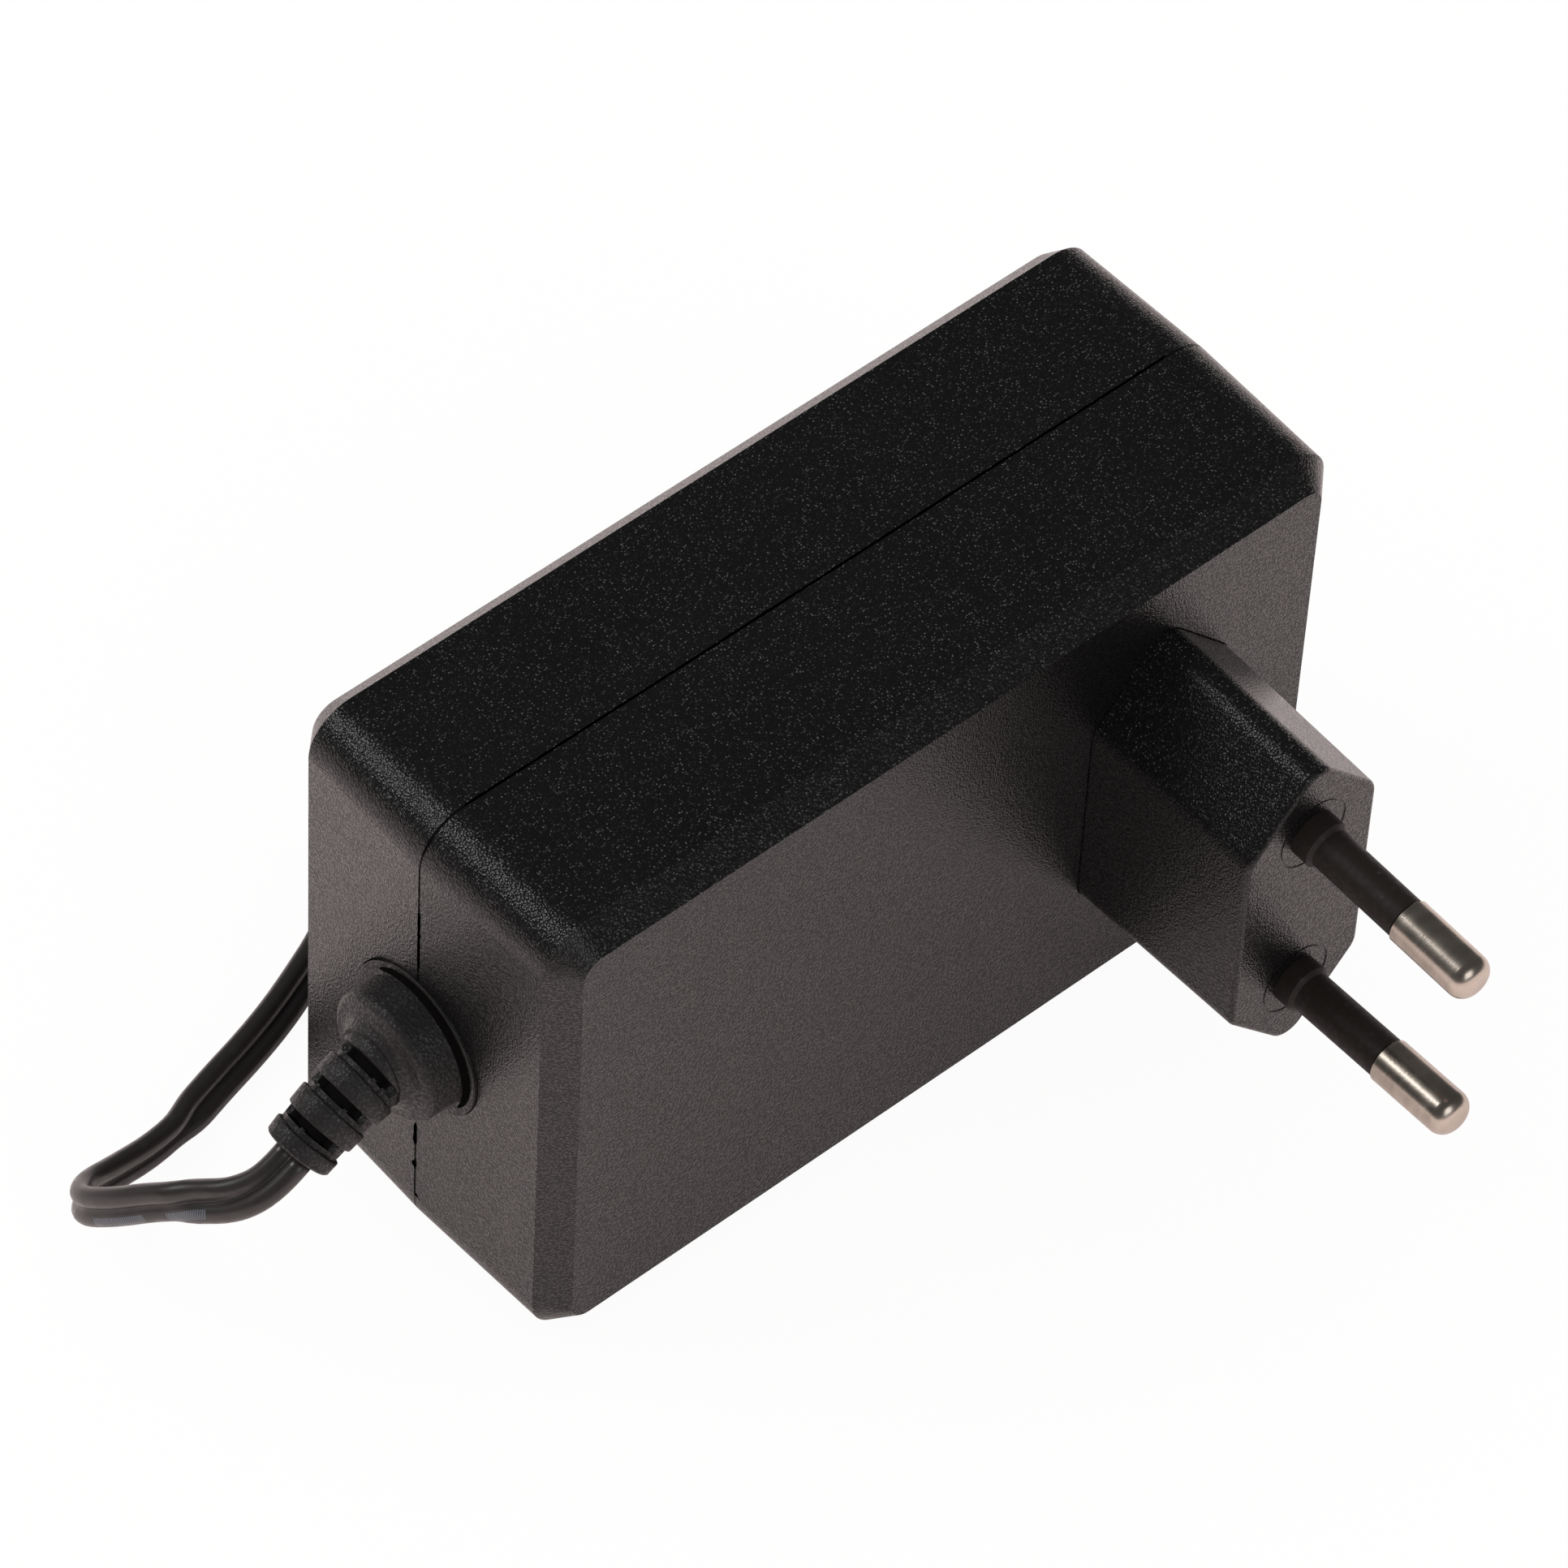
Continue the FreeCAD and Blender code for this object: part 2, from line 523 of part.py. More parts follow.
relief_holes(rear, "rear")
keep(rear, "rear_shell")

# Plug insert: a hollow six-sided block with a flange that sits behind the front wall.

insert = new_body("plug_insert")
block_outline = new_sketch(insert, "block_outline", "XZ_Plane", "Sizes.front_depth + Sizes.plug_depth")
plug_outline(block_outline, "0")
pad(insert, block_outline, "block", "Sizes.plug_depth + Sizes.wall", True, "Sizes.plug_draft")
face_y = -value("Sizes.front_depth + Sizes.plug_depth")
dress(insert, "Fillet", "block_corners", "Sizes.plug_corner",
      lambda edge: edge.YLength > size["plug_depth"])
dress(insert, "Fillet", "block_rim", "Sizes.plug_rim",
      lambda edge: edge.YLength < 0.01 and abs(edge.YMin - face_y) < 0.01)
flange_outline = new_sketch(insert, "flange_outline", "XZ_Plane", "Sizes.front_depth - Sizes.wall")
plug_outline(flange_outline, f"({ROOT_GROW} + Sizes.plug_flange_rim)")
pad(insert, flange_outline, "flange", "Sizes.plug_flange", True)
hollow_outline = new_sketch(insert, "block_hollow_outline", "XZ_Plane",
                            "Sizes.front_depth - Sizes.wall - Sizes.plug_flange")
plug_outline(hollow_outline, f"({ROOT_GROW} - Sizes.plug_wall)")
cut(insert, hollow_outline, "block_hollow",
    "Sizes.plug_depth + Sizes.wall + Sizes.plug_flange - Sizes.plug_face", True, "-Sizes.plug_draft")
bosses = new_sketch(insert, "pin_boss_circles", "XZ_Plane",
                    "Sizes.front_depth + Sizes.plug_depth - 0.5 * Sizes.plug_face")
rings = new_sketch(insert, "pin_ring_circles", "XZ_Plane", "Sizes.front_depth + Sizes.plug_depth")
for side in (-1, 1):
    pin_z = f"Sizes.body_height / 2 + {side} * Sizes.pin_spacing / 2"
    add_circle(bosses, PLUG_X, pin_z, "Sizes.pin_boss_radius")
    add_circle(rings, PLUG_X, pin_z, "Sizes.pin_ring_radius")
    add_circle(rings, PLUG_X, pin_z, "Sizes.pin_ring_radius - Sizes.pin_ring_width")
pad(insert, bosses, "pin_bosses", "0.5 * Sizes.plug_face + Sizes.pin_boss_length", True)
cut(insert, rings, "pin_rings", "Sizes.pin_ring_depth")

# Pins and sleeves are turned about axes that lean towards each other.


def pin_frame(side):
    """Frame at a pin's foot on the block's face, its Z axis pointing out along the pin."""
    lean = radians(size["pin_converge"])
    foot = Vector(plug_x, face_y, size["body_height"] / 2 + side * size["pin_spacing"] / 2)
    return Placement(foot, Rotation(Vector(0, 0, 1), Vector(0, -cos(lean), -side * sin(lean))))


BOSS_END = "(-Sizes.plug_face - Sizes.pin_boss_length)"
FOOT_RADIUS = "Sizes.sleeve_radius + Sizes.sleeve_foot"
drilled = insert
for side, which in ((1, "upper"), (-1, "lower")):
    frame = pin_frame(side)
    pin = turned("pin_" + which, [
        ("0", f"{BOSS_END} - Sizes.pin_root"), ("Sizes.pin_core", f"{BOSS_END} - Sizes.pin_root"),
        ("Sizes.pin_core", "Sizes.sleeve_length"),
        ("Sizes.pin_radius - Sizes.pin_step", "Sizes.sleeve_length"),
        ("Sizes.pin_radius", "Sizes.sleeve_length + Sizes.pin_step"),
        ("Sizes.pin_radius", "Sizes.pin_length"), ("0", "Sizes.pin_length")], frame)
    dress(pin, "Fillet", f"pin_{which}_tip", "Sizes.pin_nose",
          lambda edge: edge.ZMin > size["pin_length"] - 0.01 and edge.XLength > size["pin_radius"] + 0.1)
    keep(pin, "pin_" + which)
    sleeve = turned("sleeve_" + which, [
        ("Sizes.pin_core", f"{BOSS_END} + Sizes.sleeve_stop"),
        ("Sizes.sleeve_radius", f"{BOSS_END} + Sizes.sleeve_stop"),
        ("Sizes.sleeve_radius", "-Sizes.sleeve_seat"), (FOOT_RADIUS, "-Sizes.sleeve_seat"),
        (FOOT_RADIUS, "Sizes.sleeve_foot_length"),
        ("Sizes.sleeve_radius", "Sizes.sleeve_foot_length + Sizes.sleeve_foot"),
        ("Sizes.sleeve_radius", "Sizes.sleeve_length"), ("Sizes.pin_core", "Sizes.sleeve_length")], frame)
    keep(sleeve, "sleeve_" + which)
    hole = turned(f"hole_{which}", [
        ("0", f"{BOSS_END} - Sizes.pin_root"), ("Sizes.pin_core", f"{BOSS_END} - Sizes.pin_root"),
        ("Sizes.pin_core", f"{BOSS_END} + Sizes.sleeve_stop"),
        ("Sizes.sleeve_radius", f"{BOSS_END} + Sizes.sleeve_stop"),
        ("Sizes.sleeve_radius", "-Sizes.sleeve_seat"), (FOOT_RADIUS, "-Sizes.sleeve_seat"),
        (FOOT_RADIUS, "Sizes.sleeve_foot_length"), ("0", "Sizes.sleeve_foot_length")], frame)
    drilled = subtract(f"plug_insert_{which}_hole", drilled, hole)
keep(drilled, "plug_insert")

# Strain relief: collar and flange in the end wall, then a ribbed part that bends down.

relief_axis = Placement(Vector(0, 0, size["relief_z"]), Rotation(Vector(0, 0, 1), Vector(-1, 0, 0)))
HALF = "Sizes.body_length / 2"
SEAT = f"({HALF} - Sizes.recess_depth + 0.5 * Sizes.neck_clearance)"
FLANGE_TOP = f"({HALF} - Sizes.wall - 0.5 * Sizes.neck_clearance)"
TAIL = (f"({HALF} - Sizes.wall - Sizes.relief_flange - Sizes.neck_clearance - Sizes.relief_boss_keep"
        " - Sizes.relief_tail)")
DISC = f"({HALF} + Sizes.disc_reach)"
DRUM = f"({HALF} + Sizes.drum_reach)"
drum = turned("relief_drum", [
    ("0", TAIL), ("Sizes.rib_core_radius", TAIL), ("Sizes.neck_radius", f"{TAIL} + Sizes.relief_tail"),
    ("Sizes.neck_radius", f"{FLANGE_TOP} - Sizes.relief_flange"),
    ("Sizes.relief_flange_radius", f"{FLANGE_TOP} - Sizes.relief_flange"),
    ("Sizes.relief_flange_radius", FLANGE_TOP), ("Sizes.neck_radius", FLANGE_TOP),
    ("Sizes.neck_radius", SEAT), ("Sizes.recess_radius - Sizes.disc_gap", SEAT),
    ("Sizes.recess_radius - Sizes.disc_gap", DISC), ("Sizes.drum_radius", DISC), ("Sizes.drum_radius", DRUM),
    ("Sizes.root_radius", DRUM),
    ("Sizes.rib_radius_start", f"{DRUM} + Sizes.root_length"),
    ("0", f"{DRUM} + Sizes.root_length")], relief_axis)
dress(drum, "Fillet", "drum_edge", "Sizes.drum_rounding",
      lambda edge: edge.XLength > 2 * size["root_radius"] + 1 and edge.ZLength < 0.01
      and abs(edge.ZMin - value(DRUM)) < 0.01)
doc.recompute()

# The ribbed part's axis is an arc in the XZ plane. Its centre lies below, an angle of 0 is the arc's top.

bend_x = value(f"-({HALF}) - Sizes.bend_reach")
bend_top = size["relief_z"] + size["bend_drop"]
bend_z = bend_top - size["bend_radius"]
bend_centre_x = bend_x + size["bend_radius"] * sin(radians(size["bend_start"]))


def on_bend(angle):
    """Point of the bent axis, and its direction, at an angle in degrees from the arc's top."""
    a = radians(angle)
    r = size["bend_radius"]
    return Vector(bend_centre_x - r * sin(a), 0, bend_z + r * cos(a)), Vector(-cos(a), 0, -sin(a))


def section(angle, radius):
    point, direction = on_bend(angle)
    return Part.Wire(Part.Circle(point, direction, radius).toShape())


rib_start = size["bend_start"] - degrees(size["rib_root"] / size["bend_radius"])
rib_radii = size["rib_radius_start"], size["rib_radius_end"]
steps = 4
sections = []
for i in range(steps + 1):
    part_way = i / steps
    angle = rib_start + (size["bend_end"] - rib_start) * part_way
    sections.append(section(angle, rib_radii[0] + (rib_radii[1] - rib_radii[0]) * part_way))
ribbed = solid("ribbed_blank", Part.makeLoft(sections, True, False))
slots = []
slot_reach = 2 * size["rib_radius_start"]
slot_step = degrees(size["rib_pitch"] / size["bend_radius"])
first_slot = size["bend_start"] + degrees(size["rib_slot_start"] / size["bend_radius"])
WEBS = ((50,), (48, 116), (80,))
web_reach = size["rib_core_radius"] + size["rib_web_rise"]
for i, web_angles in enumerate(WEBS):
    middle = first_slot + i * slot_step
    part_way = (middle - rib_start) / (size["bend_end"] - rib_start)
    surface = rib_radii[0] + (rib_radii[1] - rib_radii[0]) * part_way
    point, direction = on_bend(middle)
    foot = point - direction * (size["rib_slot"] / 2)
    ring = Part.makeCylinder(slot_reach, size["rib_slot"], foot, direction)
    ring = ring.cut(Part.makeCylinder(size["rib_core_radius"], size["rib_slot"], foot, direction))
    spine = Part.makeBox(2 * slot_reach, 2 * slot_reach, 2 * size["rib_spine"],
                         Vector(-slot_reach, -slot_reach, -size["rib_spine"]))
    spine.Placement = Placement(point, Rotation(direction, -size["rib_spine_turn"])
                                * Rotation(Vector(1, 0, 0), direction))
    low = surface - size["rib_spine_inset"]
    ring = ring.cut(spine.common(Part.makeCylinder(low, size["rib_slot"], foot, direction)))
    upward = Vector(0, 1, 0).cross(direction)
    for web_angle in web_angles:
        a = radians(web_angle)
        outward = Vector(0, -1, 0) * cos(a) + upward * sin(a)
        web = Part.makeBox(web_reach, 2 * size["rib_web"], 2 * size["rib_slot"],
                           Vector(0, -size["rib_web"], -size["rib_slot"]))
        web.Placement = Placement(point, Rotation(outward, Vector(0, 0, 0), direction, "ZXY"))
        ring = ring.cut(web)
    slots.append(ring)
slot_tool = solid("rib_slots", Part.makeCompound(slots))
ribs = subtract("ribbed_part", ribbed, slot_tool)
keep(join("strain_relief_join", drum, ribs), "strain_relief")
relief_end, relief_direction = on_bend(size["bend_end"])

# Cords. A route is straight runs joined by arcs as large as the runs allow.


def rounded_path(points):
    """Wire of runs and tangent arcs through a route, and the arcs' radii."""
    points = [Vector(*point) for point in points]
    runs = [(b - a).Length for a, b in zip(points, points[1:])]
    edges, radii, last = [], [], points[0]
    for i in range(1, len(points) - 1):
        before = (points[i - 1] - points[i]).normalize()
        after = (points[i + 1] - points[i]).normalize()
        half_turn = (pi - acos(max(-1.0, min(1.0, before.dot(after))))) / 2
        reach = 0.45 * min(runs[i - 1], runs[i])
        radius = reach / tan(half_turn)
        start, end = points[i] + before * reach, points[i] + after * reach
        inward = (before + after).normalize()
        middle = points[i] + inward * (radius / cos(half_turn) - radius)
        edges.append(Part.LineSegment(last, start).toShape())
        edges.append(Part.Arc(start, middle, end).toShape())
        radii.append(radius)
        last = end
    edges.append(Part.LineSegment(last, points[-1]).toShape())
    return Part.Wire(edges), radii


def tube(name, points, radius):
    """Round tube along a route; its volume has to be its section times its length."""
    path, radii = rounded_path(points)
    start = Vector(*points[0])
    profile = Part.Wire(Part.Circle(start, Vector(*points[1]) - start, radius).toShape())
    shape = path.makePipeShell([profile], True, False)
    expected = pi * radius ** 2 * path.Length
    print(f"{name}: length {path.Length:.1f}, radii {min(radii):.1f} to {max(radii):.1f},",
          f"volume {shape.Volume / expected:.4f} of section x length")
    return solid(name, shape)


LEAD_ROUTE = [
    tuple(relief_end), tuple(relief_end + relief_direction * 3.0), (-57.5, 1.6, 16.8), (-59.1, 4.6, 14.9),
    (-60.6, 8.0, 12.6), (-62.3, 11.3, 9.8), (-63.0, 14.5, 7.2), (-60.9, 16.8, 5.1), (-57.0, 17.6, 3.4),
    (-52.7, 18.2, 2.2), (-48.6, 19.1, 1.9), (-44.7, 20.3, 1.8), (-40.8, 21.3, 1.8), (-36.9, 22.5, 1.8),
    (-32.9, 24.1, 1.8), (-28.6, 26.3, 1.8), (-24.4, 29.2, 1.8), (-20.0, 31.8, 1.8), (-15.5, 33.0, 1.8),
]
back_y = size["rear_depth"]
plug_y = back_y + size["dc_plug_y"]
plug_z = size["hank_height"] + size["tie_thickness"] + size["dc_body_radius"]
TAIL_ROUTE = [
    (25.0, 31.0, 8.6), (29.5, 32.0, 10.6), (34.0, 33.2, 12.6), (39.0, 33.8, 12.9), (44.0, 33.6, 12.9),
    (48.4, 31.7, 13.1), (51.0, 28.2, 13.7), (50.6, 24.4, 14.5), (47.2, 21.9, 15.4), (42.5, 21.3, 16.3),
    (size["dc_plug_x"] + size["dc_straight"], plug_y, plug_z), (size["dc_plug_x"], plug_y, plug_z),
]
cord_radius = size["cord_width"] / 2


def hank_shape():
    """Outer shape of the folded cord: two round ends drawn in by the tie at the middle."""
    r, waist = size["hank_end_radius"], size["hank_waist"]
    x, y = size["hank_half_length"] - r, back_y + size["hank_gap"] + r
    hollow = (x ** 2 + waist ** 2 - r ** 2) / (2 * (r - waist))
    touch = r / (r + hollow)
    meet_x, meet_y = x * (1 - touch), (waist + hollow) * touch
    middle = Vector(size["hank_x"], y, 0)
    left, right = -1, 1

    def arc(*stops):
        return Part.Arc(*(middle + Vector(px, py, 0) for px, py in stops)).toShape()

    ends = [arc((side * meet_x, -side * meet_y), (side * (x + r), 0), (side * meet_x, side * meet_y))
            for side in (left, right)]
    sides = [arc((meet_x, side * meet_y), (0, side * waist), (-meet_x, side * meet_y)) for side in (1, -1)]
    outline = Part.Wire([ends[1], sides[0], ends[0], sides[1]])
    return Part.Face(outline).extrude(Vector(0, 0, size["hank_height"]))


hank = solid("hank_blank", hank_shape())
hank_y = back_y + size["hank_gap"] + size["hank_end_radius"]
tie_reach = size["hank_waist"] + size["tie_thickness"] + 0.1
tie_outside = box("tie_outside", "Sizes.tie_width", f"2 * {tie_reach}",
                  "Sizes.hank_height + Sizes.tie_thickness",
                  (size["hank_x"] - size["tie_width"] / 2, hank_y - tie_reach, 0))
tie_inside = box("tie_inside", "Sizes.tie_width + 2", f"2 * ({tie_reach} - Sizes.tie_thickness)",
                 "Sizes.hank_height - Sizes.tie_thickness",
                 (size["hank_x"] - size["tie_width"] / 2 - 1, hank_y - tie_reach + size["tie_thickness"],
                  size["tie_thickness"]))
tie = keep(subtract("hank_tie_band", tie_outside, tie_inside), "hank_tie")
hank = keep(subtract("hank_cut", hank, tie), "lead_hank")
keep(subtract("lead_cut", tube("lead_tube", LEAD_ROUTE, cord_radius), hank), "lead")
keep(subtract("tail_cut", tube("tail_tube", TAIL_ROUTE, cord_radius), hank), "lead_tail")

# Output plug, lying on the tied cord: grip with a tapered end, barrel and insulator.

plug_frame = Placement(Vector(size["dc_plug_x"], plug_y, plug_z),
                       Rotation(Vector(0, 0, 1), Vector(-1, 0, 0)))
GRIP = "(Sizes.dc_relief_length + Sizes.dc_body_length)"
SOCKET = f"({GRIP} - Sizes.dc_socket)"
TIP = f"({GRIP} + Sizes.dc_barrel_length + Sizes.dc_tip_length)"
keep(turned("dc_plug_body", [
    ("0", "0"), ("Sizes.dc_relief_radius", "0"),
    ("Sizes.dc_relief_radius + Sizes.dc_flare", "Sizes.dc_relief_length - Sizes.dc_shoulder"),
    ("Sizes.dc_body_radius - Sizes.dc_shoulder", "Sizes.dc_relief_length"),
    ("Sizes.dc_body_radius", "Sizes.dc_relief_length + Sizes.dc_shoulder"),
    ("Sizes.dc_body_radius", f"{GRIP} - Sizes.dc_edge"), ("Sizes.dc_body_radius - Sizes.dc_edge", GRIP),
    ("Sizes.dc_barrel_radius", GRIP), ("Sizes.dc_collar_radius", f"{GRIP} - 0.2 * Sizes.dc_socket"),
    ("Sizes.dc_collar_radius", SOCKET), ("0", SOCKET)], plug_frame), "dc_plug_body")
keep(turned("dc_plug_barrel", [
    ("Sizes.dc_barrel_bore", SOCKET), ("Sizes.dc_collar_radius", SOCKET),
    ("Sizes.dc_collar_radius", f"{GRIP} - 0.2 * Sizes.dc_socket"), ("Sizes.dc_barrel_radius", GRIP),
    ("Sizes.dc_barrel_radius", f"{GRIP} + Sizes.dc_barrel_length - Sizes.dc_lip"),
    ("Sizes.dc_barrel_radius - Sizes.dc_lip", f"{GRIP} + Sizes.dc_barrel_length"),
    ("Sizes.dc_barrel_bore", f"{GRIP} + Sizes.dc_barrel_length")], plug_frame), "dc_plug_barrel")
keep(turned("dc_plug_insulator", [
    ("0", SOCKET), ("Sizes.dc_barrel_bore", SOCKET),
    ("Sizes.dc_barrel_bore", f"{GRIP} + Sizes.dc_barrel_length"),
    ("Sizes.dc_barrel_radius - Sizes.dc_lip", f"{GRIP} + Sizes.dc_barrel_length"),
    ("Sizes.dc_barrel_radius - 2.5 * Sizes.dc_lip", TIP), ("Sizes.dc_tip_bore + Sizes.dc_contact", TIP),
    ("Sizes.dc_tip_bore + Sizes.dc_contact", GRIP), ("0", GRIP)], plug_frame), "dc_plug_insulator")
keep(turned("dc_plug_contact", [
    ("Sizes.dc_tip_bore", GRIP), ("Sizes.dc_tip_bore + Sizes.dc_contact", GRIP),
    ("Sizes.dc_tip_bore + Sizes.dc_contact", TIP), ("Sizes.dc_tip_bore", TIP)], plug_frame),
    "dc_plug_contact")

# Circuit board on the rear shell's posts, and what stands on it towards the marked face.

board_length = size["body_length"] - 2 * (size["wall"] + size["board_gap"])
board_height = size["body_height"] - 2 * (size["wall"] + size["board_gap"])
board_y = size["rear_depth"] - size["wall"] - size["post_height"] - size["board_thickness"]
middle_z = size["body_height"] / 2
away = Vector(0, -1, 0)


def on_board(name):
    """X and Z of a component from its shares of the board."""
    return size[name + "_x"] * board_length, middle_z + size[name + "_z"] * board_height


def can(name, x, z, kind):
    """Upright can with a rounded top edge; kind names the rows of its sizes."""
    radius, height, edge = f"Sizes.{kind}_radius", f"Sizes.{kind}_height", "Sizes.capacitor_rounding"
    profile = [("0", "0"), (radius, "0"), (radius, f"{height} - {edge}"), (f"{radius} - {edge}", height),
               ("0", height)]
    keep(turned(name, profile, Placement(Vector(x, board_y, z), Rotation(Vector(0, 0, 1), away))), name)


board = new_body("circuit_board")
board_outline = new_sketch(board, "board_outline", "XZ_Plane",
                           "-(Sizes.rear_depth - Sizes.wall - Sizes.post_height)")
add_rounded_rectangle(board_outline, "-Sizes.body_length / 2 + Sizes.wall + Sizes.board_gap",
                      "Sizes.wall + Sizes.board_gap", "Sizes.body_length / 2 - Sizes.wall - Sizes.board_gap",
                      "Sizes.body_height - Sizes.wall - Sizes.board_gap", "Sizes.corner_radius - Sizes.wall")
pad(board, board_outline, "board_sheet", "Sizes.board_thickness")
board_holes = new_sketch(board, "board_hole_circles", "XZ_Plane",
                         "-(Sizes.rear_depth - Sizes.wall - Sizes.post_height)")
for post_x, post_z in POSTS:
    add_circle(board_holes, post_x, post_z, "Sizes.peg_radius + Sizes.peg_clearance")
cut(board, board_holes, "board_holes", "Sizes.board_thickness", True)
keep(board, "circuit_board")

relief_back = -value(TAIL)
output_landing = relief_back + size["output_landing"]
output_cans_x = (output_landing + size["wire_radius"] + size["output_capacitor_gap"]
                 + size["output_capacitor_radius"])
can("bulk_capacitor", *on_board("bulk_capacitor"), "bulk_capacitor")
can("fuse", *on_board("fuse"), "fuse")
for name in ("output_capacitor_1", "output_capacitor_2"):
    can(name, output_cans_x, middle_z + size[name + "_z"] * board_height, "output_capacitor")
for name in ("x_capacitor", "bridge_rectifier", "optocoupler", "controller_chip"):
    x, z = on_board(name)
    length, width, height = (size[name + end] for end in ("_length", "_width", "_height"))
    keep(box(name, f"Sizes.{name}_length", f"Sizes.{name}_height", f"Sizes.{name}_width",
             (x - length / 2, board_y - height, z - width / 2)), name)
for name in ("varistor", "y_capacitor"):
    x, z = on_board(name)
    keep(rod(name, f"Sizes.{name}_radius", f"Sizes.{name}_thickness",
             (x - size[name + "_thickness"] / 2, board_y - size[name + "_radius"], z), (1, 0, 0)), name)

# Line choke: a drum core with its winding between the flanges.

choke_foot = Vector(size["choke_x"] * board_length, board_y, middle_z)
choke_place = Placement(choke_foot, Rotation(Vector(0, 0, 1), away))
FLANGE = "Sizes.choke_flange"
CHOKE_TOP = "(Sizes.choke_height - Sizes.choke_flange)"
keep(turned("choke_core", [
    ("0", "0"), ("Sizes.choke_radius", "0"), ("Sizes.choke_radius", FLANGE), ("Sizes.choke_drum", FLANGE),
    ("Sizes.choke_drum", CHOKE_TOP), ("Sizes.choke_radius", CHOKE_TOP),
    ("Sizes.choke_radius", "Sizes.choke_height"),
    ("0", "Sizes.choke_height")], choke_place), "choke_core")
COIL = "Sizes.choke_radius - Sizes.choke_winding_gap"
keep(turned("choke_winding", [("Sizes.choke_drum", FLANGE), (COIL, FLANGE), (COIL, CHOKE_TOP),
                              ("Sizes.choke_drum", CHOKE_TOP)], choke_place), "choke_winding")

# Transformer: two E-shaped core halves whose middle legs meet inside a wound bobbin.

transformer_x = size["transformer_x"] * board_length
half_core = size["core_size"] / 2
transformer_y = board_y - size["bobbin_foot"] - size["bobbin_flange"]
for side, which in ((-1, "left"), (1, "right")):
    core = new_body("core_" + which)
    outline = new_sketch(core, f"core_{which}_outline", "XZ_Plane", "-Sizes.core_depth / 2")
    s = side
    leg, back, mid = "Sizes.core_leg", f"{s} * Sizes.core_size / 2", "Sizes.core_depth / 2"
    inner = f"{s} * (Sizes.core_size / 2 - Sizes.core_leg)"
    half = "Sizes.core_size / 2"
    add_outline(outline, [(back, f"-{half}"), (back, half), ("0", half), ("0", f"{half} - {leg}"),
                          (inner, f"{half} - {leg}"), (inner, mid), ("0", mid), ("0", f"-{mid}"),
                          (inner, f"-{mid}"), (inner, f"-{half} + {leg}"), ("0", f"-{half} + {leg}"),
                          ("0", f"-{half}")])
    pad(core, outline, f"core_{which}_stack", "Sizes.core_depth")
    core.Placement = Placement(Vector(transformer_x, transformer_y, middle_z), Rotation())
    keep(core, "transformer_core_" + which)


def around_leg(half_x, half_y, half_z):
    """Block centred on the transformer's middle leg."""
    return Part.makeBox(2 * half_x, 2 * half_y, 2 * half_z, Vector(
        transformer_x - half_x, transformer_y - half_y, middle_z - half_z))


leg = size["core_depth"] / 2 + size["bobbin_gap"]
tube_outside = leg + size["bobbin_wall"]
reel = half_core - size["core_leg"] - size["bobbin_gap"]
flange_y = size["bobbin_flange"]
winding_x = reel - size["bobbin_wall"]
bobbin = around_leg(reel, flange_y, reel).cut(around_leg(winding_x, 2 * flange_y, 2 * reel))
bobbin = bobbin.fuse(around_leg(reel, tube_outside, tube_outside)).cut(around_leg(2 * reel, leg, leg))
for side in (-1, 1):
    foot = Part.makeBox(size["bobbin_wall"], size["bobbin_foot"], 2 * reel, Vector(
        transformer_x + side * (reel - size["bobbin_wall"] / 2) - size["bobbin_wall"] / 2,
        transformer_y + flange_y, middle_z - reel))
    bobbin = bobbin.fuse(foot)
keep(solid("bobbin_moulding", bobbin.removeSplitter()), "transformer_bobbin")
wound = size["winding_gap"] + size["tape_thickness"]
copper = around_leg(winding_x, flange_y - wound, reel - wound)
coil = copper.cut(around_leg(2 * reel, tube_outside, tube_outside))
keep(solid("winding_coil", coil), "transformer_winding")
tape = around_leg(winding_x, flange_y - size["winding_gap"], reel - size["winding_gap"])
keep(solid("winding_tape", tape.cut(copper)), "transformer_tape")

# Power devices, each flat against its bent heat sink plate.


def power_device(device, sink, plate_x, device_z):
    """Heat sink plate across X at plate_x with a device on its -X face."""
    thickness, foot = size["sink_thickness"], size["sink_foot"]
    plate = Part.makeBox(thickness, size["sink_height"], size["sink_width"], Vector(
        plate_x, board_y - size["sink_height"], device_z - size["sink_width"] / 2))
    bent = Part.makeBox(foot, thickness, size["sink_width"], Vector(
        plate_x, board_y - thickness, device_z - size["sink_width"] / 2))
    keep(solid(sink + "_plate", plate.fuse(bent).removeSplitter()), sink)
    width, stand = size["device_width"], size["device_stand"]
    body = Part.makeBox(size["case_thickness"], size["device_body"], width, Vector(
        plate_x - size["case_thickness"], board_y - stand - size["device_body"], device_z - width / 2))
    tab = Part.makeBox(size["tab_thickness"], size["device_tab"], width, Vector(
        plate_x - size["tab_thickness"], board_y - stand - size["device_body"] - size["device_tab"],
        device_z - width / 2))
    hole_y = board_y - stand - size["device_body"] - size["device_tab"] / 2
    hole = Part.makeCylinder(size["device_hole"], 3 * size["tab_thickness"], Vector(
        plate_x - 2 * size["tab_thickness"], hole_y, device_z), Vector(1, 0, 0))
    pin_width = size["device_pin_width"]
    pins = [Part.makeBox(size["device_pin_thickness"], stand, pin_width, Vector(
        plate_x - size["device_pin_depth"], board_y - stand,
        device_z + step * size["device_pin_pitch"] - pin_width / 2)) for step in (-1, 0, 1)]
    keep(solid(device + "_case", body.multiFuse([tab.cut(hole)] + pins).removeSplitter()), device)


power_device("switching_transistor", "transistor_heat_sink", *on_board("transistor"))
power_device("output_diode", "diode_heat_sink", *on_board("diode"))

# Wires inside the case: pins to the board, and the cord's two cores to the board.

